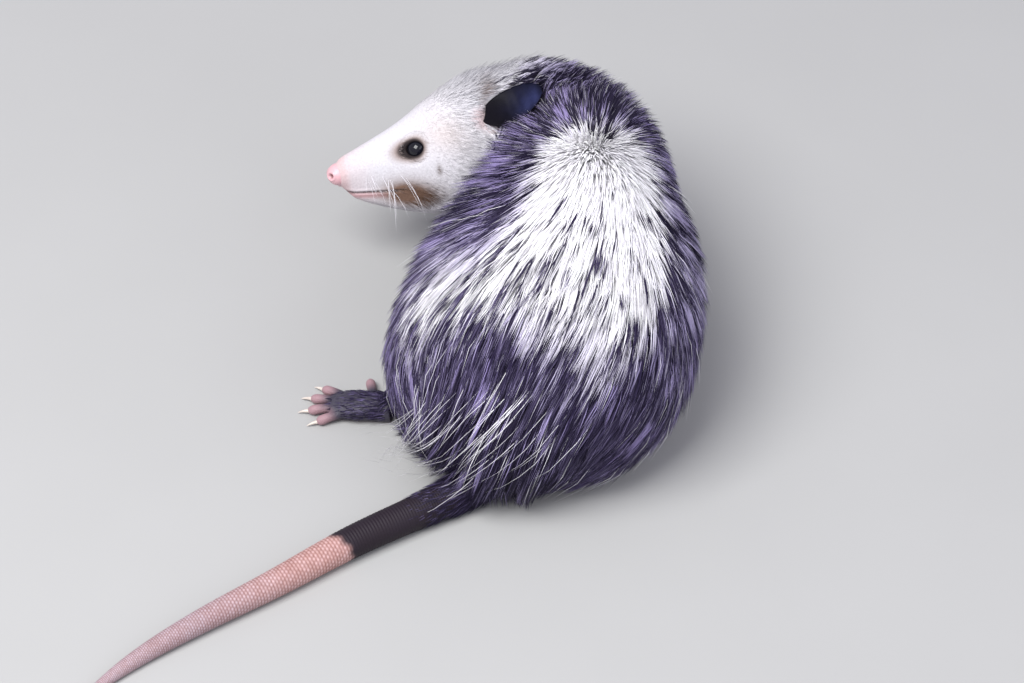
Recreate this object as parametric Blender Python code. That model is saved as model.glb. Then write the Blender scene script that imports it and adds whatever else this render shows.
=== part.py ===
"""Virginia opossum, life size, crouching with its head turned back over its left shoulder.

Metres, +Z up. The floor is z = 0, the origin is on the floor under the belly, the rump is
towards -Y, the chest towards +Y and the animal's left side towards -X. Every node is one
closed solid, and neighbours keep GAP between them. The long coat is built as flat tapered
locks fused to the torso and the neck; head, legs and feet are smooth.
"""

import math
import random

import bmesh
import bpy
from mathutils import Matrix, Vector
from mathutils.bvhtree import BVHTree

GAP = 0.0003
SEED = 11

# Depth of the dense under-fur off the skin, the core that the locks grow from.
CORE_DEPTH = 0.010
# Locks of the trunk and of the neck: length, width, thickness, and how far their tips
# stand off the core.
TRUNK_LOCK = (0.060, 0.0255, 0.0032, 0.0130)
NECK_LOCK = (0.046, 0.0230, 0.0030, 0.0105)
LOCK_SINK = 0.005
LOCK_STEPS = 3
# Rows of locks as (place, count) along the trunk and along the neck, the angles round the
# body that they cover, and how far they keep from the foot of an ear. The last row is on
# the outer side of the bent neck alone.
TRUNK_ROWS = (
    (0.770, 10),
    (0.700, 10),
    (0.630, 11),
    (0.550, 12),
    (0.470, 13),
    (0.390, 13),
    (0.310, 13),
    (0.230, 13),
    (0.150, 12),
    (0.080, 10),
    (0.015, 8),
)
TRUNK_SPAN = (-33, 213)
NECK_ROWS = ((0.18, 10), (0.56, 9))
NECK_SPAN = (-60, 240)
OUTER_ROWS = ((0.86, 6),)
OUTER_SPAN = (-60, 100)
EAR_CLEAR = 0.026
NECK_LENGTH = 0.050

# Stations of the trunk from the rump to the back of the head, on the skin under the coat:
# place of the centre, heading in degrees to the left of +Y, half width, half height, and
# how far the spine leans to the animal's right of the centre.
TRUNK = (
    # along  x       y       z      heading  width   height  lean
    (0.00, -0.006, -0.1225, 0.048, -20.0, 0.0330, 0.0300, 0.004),
    (0.08, -0.001, -0.1080, 0.055, -16.0, 0.0580, 0.0470, 0.010),
    (0.20, 0.004, -0.0840, 0.062, -13.0, 0.0740, 0.0590, 0.018),
    (0.34, 0.010, -0.0520, 0.068, -10.0, 0.0770, 0.0670, 0.023),
    (0.48, 0.018, -0.0180, 0.071, -7.0, 0.0710, 0.0710, 0.024),
    (0.60, 0.026, 0.0140, 0.072, -2.0, 0.0610, 0.0700, 0.019),
    (0.72, 0.032, 0.0440, 0.076, 10.0, 0.0530, 0.0590, 0.013),
    (0.84, 0.028, 0.0700, 0.079, 32.0, 0.0450, 0.0460, 0.006),
)
NECK_START = 0.80
# The block that parts the neck from the torso: how far it reaches to the animal's left and
# right of the neck's start, up and down, and ahead.
NECK_BLOCK = (-0.068, 0.090, 0.120, 0.200)
TORSO_RINGS = 15
NECK_RINGS = 6
SIDES = 22
TRUNK_PEAR = 0.12

# The head's own frame: the point between the nostrils, and the directions of the nose,
# of the head's left side and of its crown.
NOSE_TIP = Vector((-0.1130, 0.0770, 0.0690))
HEAD_FORWARD = Vector((-0.9850, -0.1580, -0.0880)).normalized()
HEAD_ROLL = math.radians(20.5)

# Stations of the skull and upper jaw: distance behind the nose tip, half width, crown and
# underside from the axis, and how much narrower the crown is than the cheeks.
SKULL = (
    # back    width   crown   under    pear
    (0.005, 0.0052, 0.0036, -0.0078, 0.05),
    (0.009, 0.0080, 0.0074, -0.0100, 0.08),
    (0.018, 0.0110, 0.0112, -0.0112, 0.12),
    (0.030, 0.0142, 0.0162, -0.0124, 0.20),
    (0.042, 0.0184, 0.0214, -0.0150, 0.24),
    (0.053, 0.0230, 0.0272, -0.0220, 0.22),
    (0.066, 0.0290, 0.0350, -0.0320, 0.16),
    (0.080, 0.0342, 0.0405, -0.0375, 0.10),
    (0.096, 0.0372, 0.0425, -0.0395, 0.06),
    (0.110, 0.0380, 0.0425, -0.0400, 0.04),
    (0.135, 0.0370, 0.0410, -0.0390, 0.03),
)
# Where the head ends on the neck: the place behind the nose, and how much earlier it ends
# on the left cheek than on the right one and at the throat than at the crown.
HEAD_BACK = 0.132
HEAD_END_LEFT = 0.028
HEAD_END_UNDER = 0.012
JAW = (
    (0.0105, 0.0030, -0.0116, -0.0146, 0.0),
    (0.0150, 0.0066, -0.0098, -0.0192, 0.0),
    (0.0300, 0.0108, -0.0090, -0.0262, 0.0),
    (0.0460, 0.0152, -0.0090, -0.0315, 0.0),
    (0.0620, 0.0212, -0.0100, -0.0352, 0.0),
    (0.0780, 0.0262, -0.0100, -0.0368, 0.0),
)
JAW_SIDES = 12
MOUTH_BACK = 0.047
MOUTH_LEVEL = -0.0118
MOUTH_GAPE = 0.0010
MOUTH_DEPTH = 0.0032

NOSE_PAD = Vector((0.0070, 0.0, -0.0022))
NOSE_RADII = (0.0074, 0.0072, 0.0070)
NOSTRIL = Vector((0.0024, 0.0052, -0.0014))
NOSTRIL_RADII = (0.0026, 0.0018, 0.0020)
# The groove down the pad, as points in the head's frame with its radius there.
NOSE_GROOVE = (
    ((-0.0006, 0.0, -0.0015), 0.0005),
    ((0.0008, 0.0, -0.0060), 0.0009),
    ((0.0040, 0.0, -0.0090), 0.0009),
)

EYE_CENTRE = Vector((0.0560, 0.0152, 0.0124))
EYE_RADIUS = 0.0058
EYE_LOOK = Vector((-0.36, 0.80, 0.45))
LID_RADIUS = 0.0054
LID_THICKNESS = 0.0017
LID_OUT = 0.0032

# The ears: foot on the head, and for each ear the side, the way it stands and the way its
# cup faces, as shares of back, outwards and up. The right ear is laid flat.
EAR_FOOT = Vector((0.1030, 0.0276, 0.0314))
EARS = {
    "ear_left": (1, Vector((0.90, 0.37, 0.24)), Vector((-0.57, 0.18, 0.80))),
    "ear_right": (-1, Vector((0.86, 0.44, -0.20)), Vector((-0.15, 0.70, 0.70))),
}
EAR_LENGTH = 0.044
EAR_WIDTH = 0.031
EAR_THICKNESS = 0.0014
EAR_CUP = 0.0075

# Legs from their start inside the body to the wrist or heel, with the radius there.
LEGS = {
    "leg_front_left": (
        (0.005, 0.020, 0.050, 0.0170),
        (-0.011, 0.045, 0.036, 0.0155),
        (-0.017, 0.073, 0.022, 0.0118),
        (-0.014, 0.098, 0.0105, 0.0082),
    ),
    "leg_front_right": (
        (0.070, 0.034, 0.050, 0.0170),
        (0.081, 0.061, 0.036, 0.0155),
        (0.084, 0.090, 0.022, 0.0118),
        (0.078, 0.115, 0.0105, 0.0082),
    ),
    "leg_hind_left": (
        (-0.020, -0.050, 0.045, 0.0230),
        (-0.040, -0.056, 0.032, 0.0190),
        (-0.058, -0.061, 0.018, 0.0130),
        (-0.071, -0.063, 0.0110, 0.0088),
    ),
    "leg_hind_right": (
        (0.042, -0.050, 0.045, 0.0230),
        (0.064, -0.058, 0.032, 0.0190),
        (0.079, -0.055, 0.018, 0.0130),
        (0.084, -0.042, 0.0110, 0.0088),
    ),
}
# Feet: where the sole starts, heading in degrees to the left of +Y, and side of the body.
FEET = {
    "foot_front_left": ((-0.0140, 0.0985), 4.0, 1),
    "foot_front_right": ((0.0778, 0.1155), 8.0, -1),
    "foot_hind_left": ((-0.0715, -0.0631), 82.0, 1),
    "foot_hind_right": ((0.0841, -0.0415), -8.0, -1),
}
# Soles: place along the foot, half width and height.
HAND_SOLE = (
    (0.000, 0.0082, 0.0085),
    (0.006, 0.0092, 0.0075),
    (0.013, 0.0100, 0.0065),
    (0.020, 0.0085, 0.0048),
)
FOOT_SOLE = (
    (0.000, 0.0085, 0.0085),
    (0.010, 0.0092, 0.0080),
    (0.024, 0.0105, 0.0070),
    (0.036, 0.0090, 0.0050),
)
# Toes: angle to the outer side of the foot, where they leave the sole, and length. The
# thumb of the hind foot is the only toe without a claw.
HAND_TOES = (
    (-52.0, 0.008, 0.016),
    (-24.0, 0.012, 0.017),
    (0.0, 0.013, 0.018),
    (24.0, 0.012, 0.017),
    (52.0, 0.008, 0.015),
)
FOOT_TOES = (
    (-24.0, 0.030, 0.015),
    (-8.0, 0.031, 0.017),
    (8.0, 0.031, 0.017),
    (24.0, 0.029, 0.015),
)
FOOT_THUMB = (-72.0, 0.012, 0.019)
TOE_RADIUS = 0.0030
CLAW_LENGTH = 0.0065
CLAW_RADIUS = 0.0013
# Claw: share of its length, height above the floor, and share of its radius.
CLAW = (
    (0.00, 0.0026, 1.0),
    (0.35, 0.0028, 0.85),
    (0.72, 0.0020, 0.52),
    (1.00, 0.0008, 0.12),
)

# Midline of the tail on the floor, with the tail's radius there.
TAIL = (
    # x       y       radius
    (0.000, -0.112, 0.0122),
    (-0.022, -0.128, 0.0109),
    (-0.052, -0.147, 0.0099),
    (-0.093, -0.172, 0.0091),
    (-0.135, -0.202, 0.0080),
    (-0.175, -0.229, 0.0067),
    (-0.206, -0.252, 0.0050),
    (-0.228, -0.272, 0.0031),
    (-0.243, -0.290, 0.0014),
)
TAIL_SIDES = 12
TAIL_DARK_END = 0.36
TAIL_TIP_START = 0.70

COLOURS = {
    "white_fur": ((0.86, 0.83, 0.80), 0.75),
    "grizzled_coat": ((0.34, 0.32, 0.34), 0.70),
    "black_fur": ((0.035, 0.03, 0.035), 0.75),
    "ear_skin": ((0.02, 0.02, 0.025), 0.40),
    "eye": ((0.01, 0.01, 0.012), 0.05),
    "pink_skin": ((0.80, 0.50, 0.46), 0.45),
    "tail_dark": ((0.05, 0.045, 0.05), 0.55),
    "tail_pale": ((0.72, 0.58, 0.52), 0.50),
    "claw": ((0.75, 0.68, 0.58), 0.35),
}

draw = random.Random(SEED)


def clear_scene():
    for obj in list(bpy.data.objects):
        bpy.data.objects.remove(obj, do_unlink=True)


def new_collection(name):
    collection = bpy.data.collections.new(name)
    bpy.context.scene.collection.children.link(collection)
    return collection


def new_material(name):
    colour, roughness = COLOURS[name]
    material = bpy.data.materials.new(name)
    material.use_nodes = True
    shader = material.node_tree.nodes["Principled BSDF"]
    shader.inputs["Base Color"].default_value = (*colour, 1.0)
    shader.inputs["Roughness"].default_value = roughness
    return material


def object_from(name, points, faces, collection):
    mesh = bpy.data.meshes.new(name)
    mesh.from_pydata([tuple(p) for p in points], [], faces)
    obj = bpy.data.objects.new(name, mesh)
    collection.objects.link(obj)
    return obj


def smooth(rows, at):
    """The values of a table of stations at a place along it, on a curve through them."""
    last = len(rows) - 1
    i = next((k for k in range(1, last) if at < rows[k][0]), last) - 1
    span = rows[i + 1][0] - rows[i][0]
    u = min(max((at - rows[i][0]) / span, 0.0), 1.0)

    def slope(k, column):
        low, high = rows[max(k - 1, 0)], rows[min(k + 1, last)]
        return (high[column] - low[column]) / (high[0] - low[0]) * span

    values = []
    for column in range(1, len(rows[0])):
        start, end = rows[i][column], rows[i + 1][column]
        values.append(
            start * (1 + 2 * u) * (1 - u) ** 2
            + slope(i, column) * u * (1 - u) ** 2
            + end * u * u * (3 - 2 * u)
            - slope(i + 1, column) * u * u * (1 - u)
        )
    return values


def loft(name, rings, collection):
    """A closed solid through rings of as many points each, with flat ends."""
    sides = len(rings[0])
    points = [p for ring in rings for p in ring]
    faces = []
    for r in range(len(rings) - 1):
        for k in range(sides):
            a, b = r * sides + k, r * sides + (k + 1) % sides
            faces.append((a, b, b + sides, a + sides))
    faces.append(tuple(reversed(range(sides))))
    faces.append(tuple(range(len(points) - sides, len(points))))
    obj = object_from(name, points, faces, collection)
    turn_outwards(obj)
    return obj


def turn_outwards(obj):
    bm = bmesh.new()
    bm.from_mesh(obj.data)
    bmesh.ops.recalc_face_normals(bm, faces=bm.faces)
    bm.to_mesh(obj.data)
    bm.free()


def ball(name, centre, radii, axes, collection, rings=8, segments=12):
    """An ellipsoid with its radii along the columns of axes."""
    mesh = bpy.data.meshes.new(name)
    bm = bmesh.new()
    bmesh.ops.create_uvsphere(bm, u_segments=segments, v_segments=rings, radius=1.0)
    turn = axes.to_4x4() @ Matrix.Diagonal((*radii, 1.0))
    bm.transform(Matrix.Translation(centre) @ turn)
    bm.to_mesh(mesh)
    bm.free()
    obj = bpy.data.objects.new(name, mesh)
    collection.objects.link(obj)
    turn_outwards(obj)
    return obj


def tube(name, path, radii, sides, collection, up=Vector((0, 0, 1)), floor=True):
    """A closed sweep of ellipses along a path; each radius is a number or (side, up)."""
    rings = []
    last = len(path) - 1
    for i, point in enumerate(path):
        along = (path[min(i + 1, last)] - path[max(i - 1, 0)]).normalized()
        side = along.cross(up).normalized()
        out = side.cross(along)
        across, high = radii[i] if isinstance(radii[i], tuple) else (radii[i], radii[i])
        ring = []
        for k in range(sides):
            angle = math.tau * k / sides
            spot = point + side * across * math.cos(angle) + out * high * math.sin(angle)
            if floor:
                spot.z = max(spot.z, 0.0)
            ring.append(spot)
        rings.append(ring)
    return loft(name, rings, collection)


def surface_copy(obj, collection):
    copy = obj.copy()
    copy.data = obj.data.copy()
    collection.objects.link(copy)
    return copy


def grown(obj, by, collection):
    """A copy of a solid that stands off it by the given distance, for cutting a neighbour."""
    copy = surface_copy(obj, collection)
    bm = bmesh.new()
    bm.from_mesh(copy.data)
    shifts = [v.normal * by * min(v.calc_shell_factor(), 2.5) for v in bm.verts]
    for vertex, shift in zip(bm.verts, shifts):
        vertex.co += shift
    bm.to_mesh(copy.data)
    bm.free()
    return copy


def keep_largest(obj):
    """Drops every closed surface of the object but the one with the largest box."""
    bm = bmesh.new()
    bm.from_mesh(obj.data)
    bm.verts.ensure_lookup_table()
    unseen = set(bm.verts)
    groups = []
    while unseen:
        stack = [unseen.pop()]
        group = set(stack)
        while stack:
            for edge in stack.pop().link_edges:
                for other in edge.verts:
                    if other in unseen:
                        unseen.discard(other)
                        group.add(other)
                        stack.append(other)
        groups.append(group)

    def box_size(group):
        spans = [
            max(v.co[k] for v in group) - min(v.co[k] for v in group) for k in range(3)
        ]
        return sum(spans)

    largest = max(groups, key=box_size)
    loose = [v for group in groups if group is not largest for v in group]
    bmesh.ops.delete(bm, geom=loose, context="VERTS")
    bm.to_mesh(obj.data)
    bm.free()


def apply_boolean(obj, operation, others):
    """Joins other solids to the object, or cuts them from it, and removes them."""
    group = bpy.data.collections.new("operands")
    bpy.context.scene.collection.children.link(group)
    for other in others:
        for owner in list(other.users_collection):
            owner.objects.unlink(other)
        group.objects.link(other)
    modifier = obj.modifiers.new(operation, "BOOLEAN")
    modifier.operation = operation
    modifier.operand_type = "COLLECTION"
    modifier.collection = group
    modifier.solver = "MANIFOLD"
    graph = bpy.context.evaluated_depsgraph_get()
    result = bpy.data.meshes.new_from_object(obj.evaluated_get(graph))
    obj.modifiers.remove(modifier)
    obj.data = result
    for other in others:
        bpy.data.objects.remove(other, do_unlink=True)
    bpy.data.collections.remove(group)
    keep_largest(obj)


def unite(obj, others):
    apply_boolean(obj, "UNION", others)


def cut(obj, others):
    apply_boolean(obj, "DIFFERENCE", others)


# The trunk

def trunk_frame(along):
    """Centre, forward and right-hand directions and sizes of the trunk at a station."""
    x, y, z, heading, width, height, lean = smooth(TRUNK, along)
    turn = math.radians(heading)
    forward = Vector((-math.sin(turn), math.cos(turn), 0.0))
    right = Vector((math.cos(turn), math.sin(turn), 0.0))
    return Vector((x, y, z)), forward, right, width, height, lean


def trunk_point(along, angle, off_skin):
    """A point of the trunk, angle 0 on the animal's right and 90 degrees on the spine."""
    centre, _, right, width, height, lean = trunk_frame(along)
    across = (width + off_skin) * math.cos(angle) * (1 - TRUNK_PEAR * math.sin(angle))
    across += lean * (1 + math.sin(angle)) / 2
    up = (height + off_skin) * math.sin(angle)
    point = centre + right * across + Vector((0.0, 0.0, up))
    point.z = max(point.z, 0.0)
    return point


def trunk_ring(along, off_skin):
    return [trunk_point(along, math.tau * k / SIDES, off_skin) for k in range(SIDES)]


def rump_rings(off_skin):
    """Rings that round off the rump behind the trunk's first station."""
    centre, forward, _, _, _, _ = trunk_frame(0.0)
    base = trunk_ring(0.0, off_skin)
    rings = []
    for share, back in ((0.30, 0.0125), (0.72, 0.0085)):
        shift = forward * -back
        rings.append([centre + (p - centre) * share + shift for p in base])
    return rings


# The coat

def nearest_station(point):
    """Where along the trunk a point lies."""
    steps = 60
    return min(
        (i / steps for i in range(steps + 1)),
        key=lambda along: (trunk_frame(along)[0].xy - point.xy).length,
    )


def body_forward(point):
    """The way the body heads at a point of the trunk, the neck or the head."""
    centre, forward, _, _, _, _ = trunk_frame(NECK_START)
    past = (point - centre).dot(forward)
    if past < 0:
        return trunk_frame(nearest_station(point))[1]
    return forward.lerp(HEAD_FORWARD, min(past / NECK_LENGTH, 1.0))


def lie_of_coat(point, normal):
    """Direction along the skin in which the coat lies: back, and down on the sides."""
    side = 1 - max(normal.z, 0.0)
    direction = -body_forward(point) * (1 - 0.35 * side) + Vector((0.0, 0.0, -1.1 * side))
    direction -= normal * direction.dot(normal)
    return direction.normalized()


def lock(tree, root, sizes, collection):
    """One flat tapered lock, combed over the surface of tree from its sunk root."""
    length, width, thickness, depth = sizes
    length *= draw.uniform(0.85, 1.12)
    width *= draw.uniform(0.85, 1.12)
    depth *= draw.uniform(0.92, 1.06)
    stray = draw.uniform(-0.12, 0.12)
    location, normal, _, _ = tree.find_nearest(root)
    reach = length / LOCK_STEPS
    middle = []
    normals = []
    for height in (-LOCK_SINK, depth * 0.36, depth * 0.70, depth):
        middle.append(location + normal * height)
        normals.append(normal.copy())
        step = Matrix.Rotation(stray, 3, normal) @ lie_of_coat(location, normal)
        ahead = location + step * reach
        nearest, turned, _, _ = tree.find_nearest(ahead)
        if (nearest - location).dot(step) > 0.6 * reach and turned.dot(normal) > 0.3:
            location, normal = nearest, turned
        else:
            location = ahead
    rings = []
    for i, share in enumerate((0.66, 1.0, 0.70)):
        along = (middle[i + 1] - middle[max(i - 1, 0)]).normalized()
        side = along.cross(normals[i]) if i == 0 else side - along * side.dot(along)
        side.normalize()
        out = side.cross(along).normalized() * thickness
        half = side * width / 2 * share
        ring = [middle[i] - half, middle[i] + half, middle[i] + out]
        lift = max(0.0, GAP - min(p.z for p in ring))
        rings.append([p + Vector((0.0, 0.0, lift)) for p in ring])
    tip = middle[LOCK_STEPS]
    tip.z = max(tip.z, GAP)
    points = [p for ring in rings for p in ring] + [tip]
    faces = [(0, 1, 2)]
    for start in range(0, len(points) - 4, 3):
        for k in range(3):
            a, b = start + k, start + (k + 1) % 3
            faces.append((a, b, b + 3, a + 3))
    end = len(points) - 4
    for k in range(3):
        faces.append((end + k, end + (k + 1) % 3, len(points) - 1))
    obj = object_from("lock", points, faces, collection)
    turn_outwards(obj)
    return obj


def ring_spot(ring, angle):
    """The point of a ring at an angle from its first point, counted round its sides."""
    place = (angle / math.tau) % 1.0 * len(ring)
    k = int(place)
    return ring[k % len(ring)].lerp(ring[(k + 1) % len(ring)], place - k)


def comb(core, rings, sizes, span, helpers):
    """Staggered rows of locks over a core, rooted on some of its rings."""
    lowest, highest = span
    ears = [in_head(EAR_FOOT.x, side * EAR_FOOT.y, EAR_FOOT.z) for side in (1, -1)]
    points = [v.co.copy() for v in core.data.vertices]
    tree = BVHTree.FromPolygons(points, [list(p.vertices) for p in core.data.polygons])
    locks = []
    for row, (ring, count) in enumerate(rings):
        for k in range(count):
            share = (k + 0.25 + 0.5 * (row % 2)) / count
            spot = ring_spot(ring, math.radians(lowest + (highest - lowest) * share))
            if min((spot - ear).length for ear in ears) > EAR_CLEAR:
                locks.append(lock(tree, spot, sizes, helpers))
    return locks


def give_room(obj, solids, helpers):
    """Cuts a solid clear of some others, with a gap round each of them."""
    for solid in solids:
        cut(obj, [grown(solid, 1.2 * GAP, helpers)])
        cut(obj, [surface_copy(solid, helpers)])


def neck_ring(share):
    """A section of the neck, which is bent on its inner side and rounded on its outer one."""
    _, forward, _, _, _, _ = trunk_frame(NECK_START)
    first = trunk_ring(NECK_START, CORE_DEPTH)
    back = head_ring(SKULL, HEAD_BACK, SIDES)
    last = [back[(SIDES // 2 - k) % SIDES] for k in range(SIDES)]
    ring = []
    for start, end in zip(first, last):
        end = end - HEAD_FORWARD * GAP * 1.2
        pull = max(0.0, (end - start).dot(forward + HEAD_FORWARD) / 2)
        ring.append(
            start * (1 + 2 * share) * (1 - share) ** 2
            + forward * pull * share * (1 - share) ** 2
            + end * share * share * (3 - 2 * share)
            - HEAD_FORWARD * pull * share * share * (1 - share)
        )
    return ring


def neck_block(inset, helpers):
    """The block that holds the neck, smaller by the inset on every side."""
    centre, forward, right, _, _, _ = trunk_frame(NECK_START)
    low, high, up, ahead = NECK_BLOCK
    mesh = bpy.data.meshes.new("block")
    bm = bmesh.new()
    bmesh.ops.create_cube(bm, size=1.0)
    size = (high - low - 2 * inset, ahead - 2 * inset, 2 * (up - inset), 1.0)
    middle = centre + right * (low + high) / 2 + forward * ahead / 2
    turn = Matrix((right, forward, right.cross(forward))).transposed().to_4x4()
    bm.transform(Matrix.Translation(middle) @ turn @ Matrix.Diagonal(size))
    bm.to_mesh(mesh)
    bm.free()
    block = bpy.data.objects.new("block", mesh)
    helpers.objects.link(block)
    return block


def build_body(nodes, helpers):
    """Torso and neck, modelled whole with their coat and then parted by a thin cut."""
    rings = rump_rings(CORE_DEPTH)
    for i in range(TORSO_RINGS):
        rings.append(trunk_ring(NECK_START * i / (TORSO_RINGS - 1), CORE_DEPTH))
    for i in range(NECK_RINGS):
        rings.append(neck_ring((i + 1) / NECK_RINGS))
    torso = loft("torso", rings, nodes)
    trunk_rows = [(trunk_ring(along, CORE_DEPTH), count) for along, count in TRUNK_ROWS]
    trunk_rows.append((rump_rings(CORE_DEPTH)[1], 6))
    neck_rows = [(neck_ring(share), count) for share, count in NECK_ROWS]
    outer_rows = [(neck_ring(share), count) for share, count in OUTER_ROWS]
    locks = comb(torso, trunk_rows, TRUNK_LOCK, TRUNK_SPAN, helpers)
    locks += comb(torso, neck_rows, NECK_LOCK, NECK_SPAN, helpers)
    locks += comb(torso, outer_rows, NECK_LOCK, OUTER_SPAN, helpers)
    unite(torso, locks)
    neck = surface_copy(torso, nodes)
    neck.name = "neck"
    cut(torso, [neck_block(0.0, helpers)])
    apply_boolean(neck, "INTERSECT", [neck_block(GAP, helpers)])
    return torso, neck


# The head

def head_axes():
    """The head's left and up directions, rolled so that its left cheek looks up a little."""
    level_left = Vector((0.0, 0.0, 1.0)).cross(HEAD_FORWARD).normalized()
    turn = Matrix.Rotation(HEAD_ROLL, 3, HEAD_FORWARD)
    left = turn @ level_left
    up = HEAD_FORWARD.cross(left).normalized()
    return left, up


HEAD_LEFT, HEAD_UP = head_axes()
HEAD_TURN = Matrix((-HEAD_FORWARD, HEAD_LEFT, HEAD_UP)).transposed()


def in_head(back, side, up):
    return NOSE_TIP + HEAD_TURN @ Vector((back, side, up))


def head_ring(rows, back, sides):
    """A section of the head, square to its axis in front and slanted towards its end."""
    slant = max(0.0, (back - 0.055) / (HEAD_BACK - 0.055)) ** 2
    ring = []
    for k in range(sides):
        angle = math.tau * k / sides
        left, high = math.cos(angle), math.sin(angle)
        early = HEAD_END_LEFT * (1 + left) / 2 + HEAD_END_UNDER * (1 - high) / 2
        spot = back - slant * early
        width, crown, under, pear = smooth(rows, spot)
        across = width * left * (1 - pear * high)
        middle, half = (crown + under) / 2, (crown - under) / 2
        ring.append(in_head(spot, across, middle + half * high))
    return ring


def head_rings(rows, last, sides, count):
    first = rows[0][0]
    shares = [i / (count - 1) for i in range(count)]
    return [head_ring(rows, first + (last - first) * share**1.3, sides) for share in shares]


def mouth_cutter(helpers):
    """A thin wedge run round the lips, widest at the skin."""
    path = []
    for side in (-1, 1):
        line = []
        for i in range(8):
            back = MOUTH_BACK + (0.0125 - MOUTH_BACK) * i / 7
            width = smooth(SKULL, back)[0] * 0.86
            line.append(in_head(back, side * width, MOUTH_LEVEL - 0.0012 * i / 7))
        path += line if side < 0 else reversed(line)
    path.insert(8, in_head(0.0092, 0.0, MOUTH_LEVEL - 0.0014))
    radii = [(MOUTH_DEPTH, MOUTH_GAPE / 2)] * len(path)
    for end in (0, -1):
        radii[end] = (MOUTH_DEPTH * 0.3, MOUTH_GAPE * 0.15)
    return tube("mouth", path, radii, 4, helpers, HEAD_UP, False)


def lid(side, helpers):
    """The lids of one eye as a rim round it, longer towards the nose."""
    centre = in_head(EYE_CENTRE.x, side * EYE_CENTRE.y, EYE_CENTRE.z)
    out = HEAD_TURN @ Vector((EYE_LOOK.x, side * EYE_LOOK.y, EYE_LOOK.z)).normalized()
    ahead = (HEAD_FORWARD - out * HEAD_FORWARD.dot(out)).normalized()
    turn = Matrix((ahead, out.cross(ahead), out)).transposed().to_4x4()
    bpy.ops.mesh.primitive_torus_add(
        major_radius=LID_RADIUS,
        minor_radius=LID_THICKNESS,
        major_segments=16,
        minor_segments=6,
    )
    rim = bpy.context.object
    rim.name = "lid"
    place = Matrix.Translation(centre + out * LID_OUT)
    rim.data.transform(place @ turn @ Matrix.Diagonal((1.18, 1.0, 1.0, 1.0)))
    for owner in list(rim.users_collection):
        owner.objects.unlink(rim)
    helpers.objects.link(rim)
    return rim


def build_head(nodes, helpers):
    head = loft("head", head_rings(SKULL, HEAD_BACK, SIDES, 15), nodes)
    jaw = loft("jaw", head_rings(JAW, JAW[-1][0], JAW_SIDES, 7), helpers)
    unite(head, [jaw, lid(1, helpers), lid(-1, helpers)])
    cut(head, [mouth_cutter(helpers)])
    return head


def build_nose(nodes, helpers):
    """The bare pad round the nostrils, with a groove down its middle."""
    pad = ball("nose", in_head(*NOSE_PAD), NOSE_RADII, HEAD_TURN, nodes, 8, 12)
    holes = []
    for side in (-1, 1):
        centre = in_head(NOSTRIL.x, side * NOSTRIL.y, NOSTRIL.z)
        holes.append(ball("nostril", centre, NOSTRIL_RADII, HEAD_TURN, helpers, 6, 8))
    groove = [in_head(*spot) for spot, _ in NOSE_GROOVE]
    radii = [radius for _, radius in NOSE_GROOVE]
    holes.append(tube("groove", groove, radii, 4, helpers, HEAD_FORWARD, False))
    for hole in holes:
        cut(pad, [hole])
    return pad


def build_eye(name, side, nodes):
    centre = in_head(EYE_CENTRE.x, side * EYE_CENTRE.y, EYE_CENTRE.z)
    return ball(name, centre, (EYE_RADIUS,) * 3, HEAD_TURN, nodes, 8, 12)


def build_ear(name, nodes):
    """A round, thin, cupped ear on a narrow foot sunk into the head."""
    side, stands, faces_to = EARS[name]
    flip = Matrix.Diagonal((1.0, side, 1.0))
    along = (HEAD_TURN @ flip @ stands).normalized()
    facing = HEAD_TURN @ flip @ faces_to
    facing = (facing - along * facing.dot(along)).normalized()
    across = along.cross(facing)
    foot = in_head(EAR_FOOT.x, side * EAR_FOOT.y, EAR_FOOT.z)
    rows, columns = 8, 6
    sheets = []
    for face in (1, -1):
        sheet = []
        for i in range(rows + 1):
            v = i / rows
            half = EAR_WIDTH / 2 * math.sqrt(max(0.0, 1 - (1.9 * v - 0.9) ** 2))
            half = max(half, 0.0045 if i < rows else 0.002)
            for k in range(columns + 1):
                u = 2 * k / columns - 1
                cup = EAR_CUP * (half / EAR_WIDTH * 2) * (1 - u * u)
                lean = 0.004 * v * v
                edge = 0.35 + 0.65 * (1 - u * u) * min(1.0, 3 * (1 - v) + 0.25)
                lift = face * EAR_THICKNESS / 2 * edge * (1.9 - 0.9 * min(1.0, v * 3))
                sheet.append(
                    foot
                    + along * (EAR_LENGTH * v - 0.004)
                    + across * half * u
                    + facing * (lift - cup + lean)
                )
        sheets.append(sheet)
    points = sheets[0] + sheets[1]
    shift = len(sheets[0])
    wide = columns + 1
    faces = []
    for i in range(rows):
        for k in range(columns):
            a = i * wide + k
            faces.append((a, a + 1, a + 1 + wide, a + wide))
            faces.append((a + shift, a + wide + shift, a + 1 + wide + shift, a + 1 + shift))
        left, ahead = i * wide, (i + 1) * wide
        faces.append((left, ahead, ahead + shift, left + shift))
        right, ahead = i * wide + columns, (i + 1) * wide + columns
        faces.append((ahead, right, right + shift, ahead + shift))
    for k in range(columns):
        top = rows * wide + k
        faces.append((k + 1, k, k + shift, k + 1 + shift))
        faces.append((top, top + 1, top + 1 + shift, top + shift))
    ear = object_from(name, points, faces, nodes)
    turn_outwards(ear)
    return ear


# The legs

def build_leg(name, nodes):
    rows = [(i / 3, *row) for i, row in enumerate(LEGS[name])]
    shares = [i / 5 for i in range(6)]
    stations = [smooth(rows, share) for share in shares]
    path = [Vector(values[:3]) for values in stations]
    return tube(name, path, [values[3] for values in stations], 10, nodes)


def foot_spot(start, heading, ahead, z):
    turn = math.radians(heading)
    return Vector((start[0] - math.sin(turn) * ahead, start[1] + math.cos(turn) * ahead, z))


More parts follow.
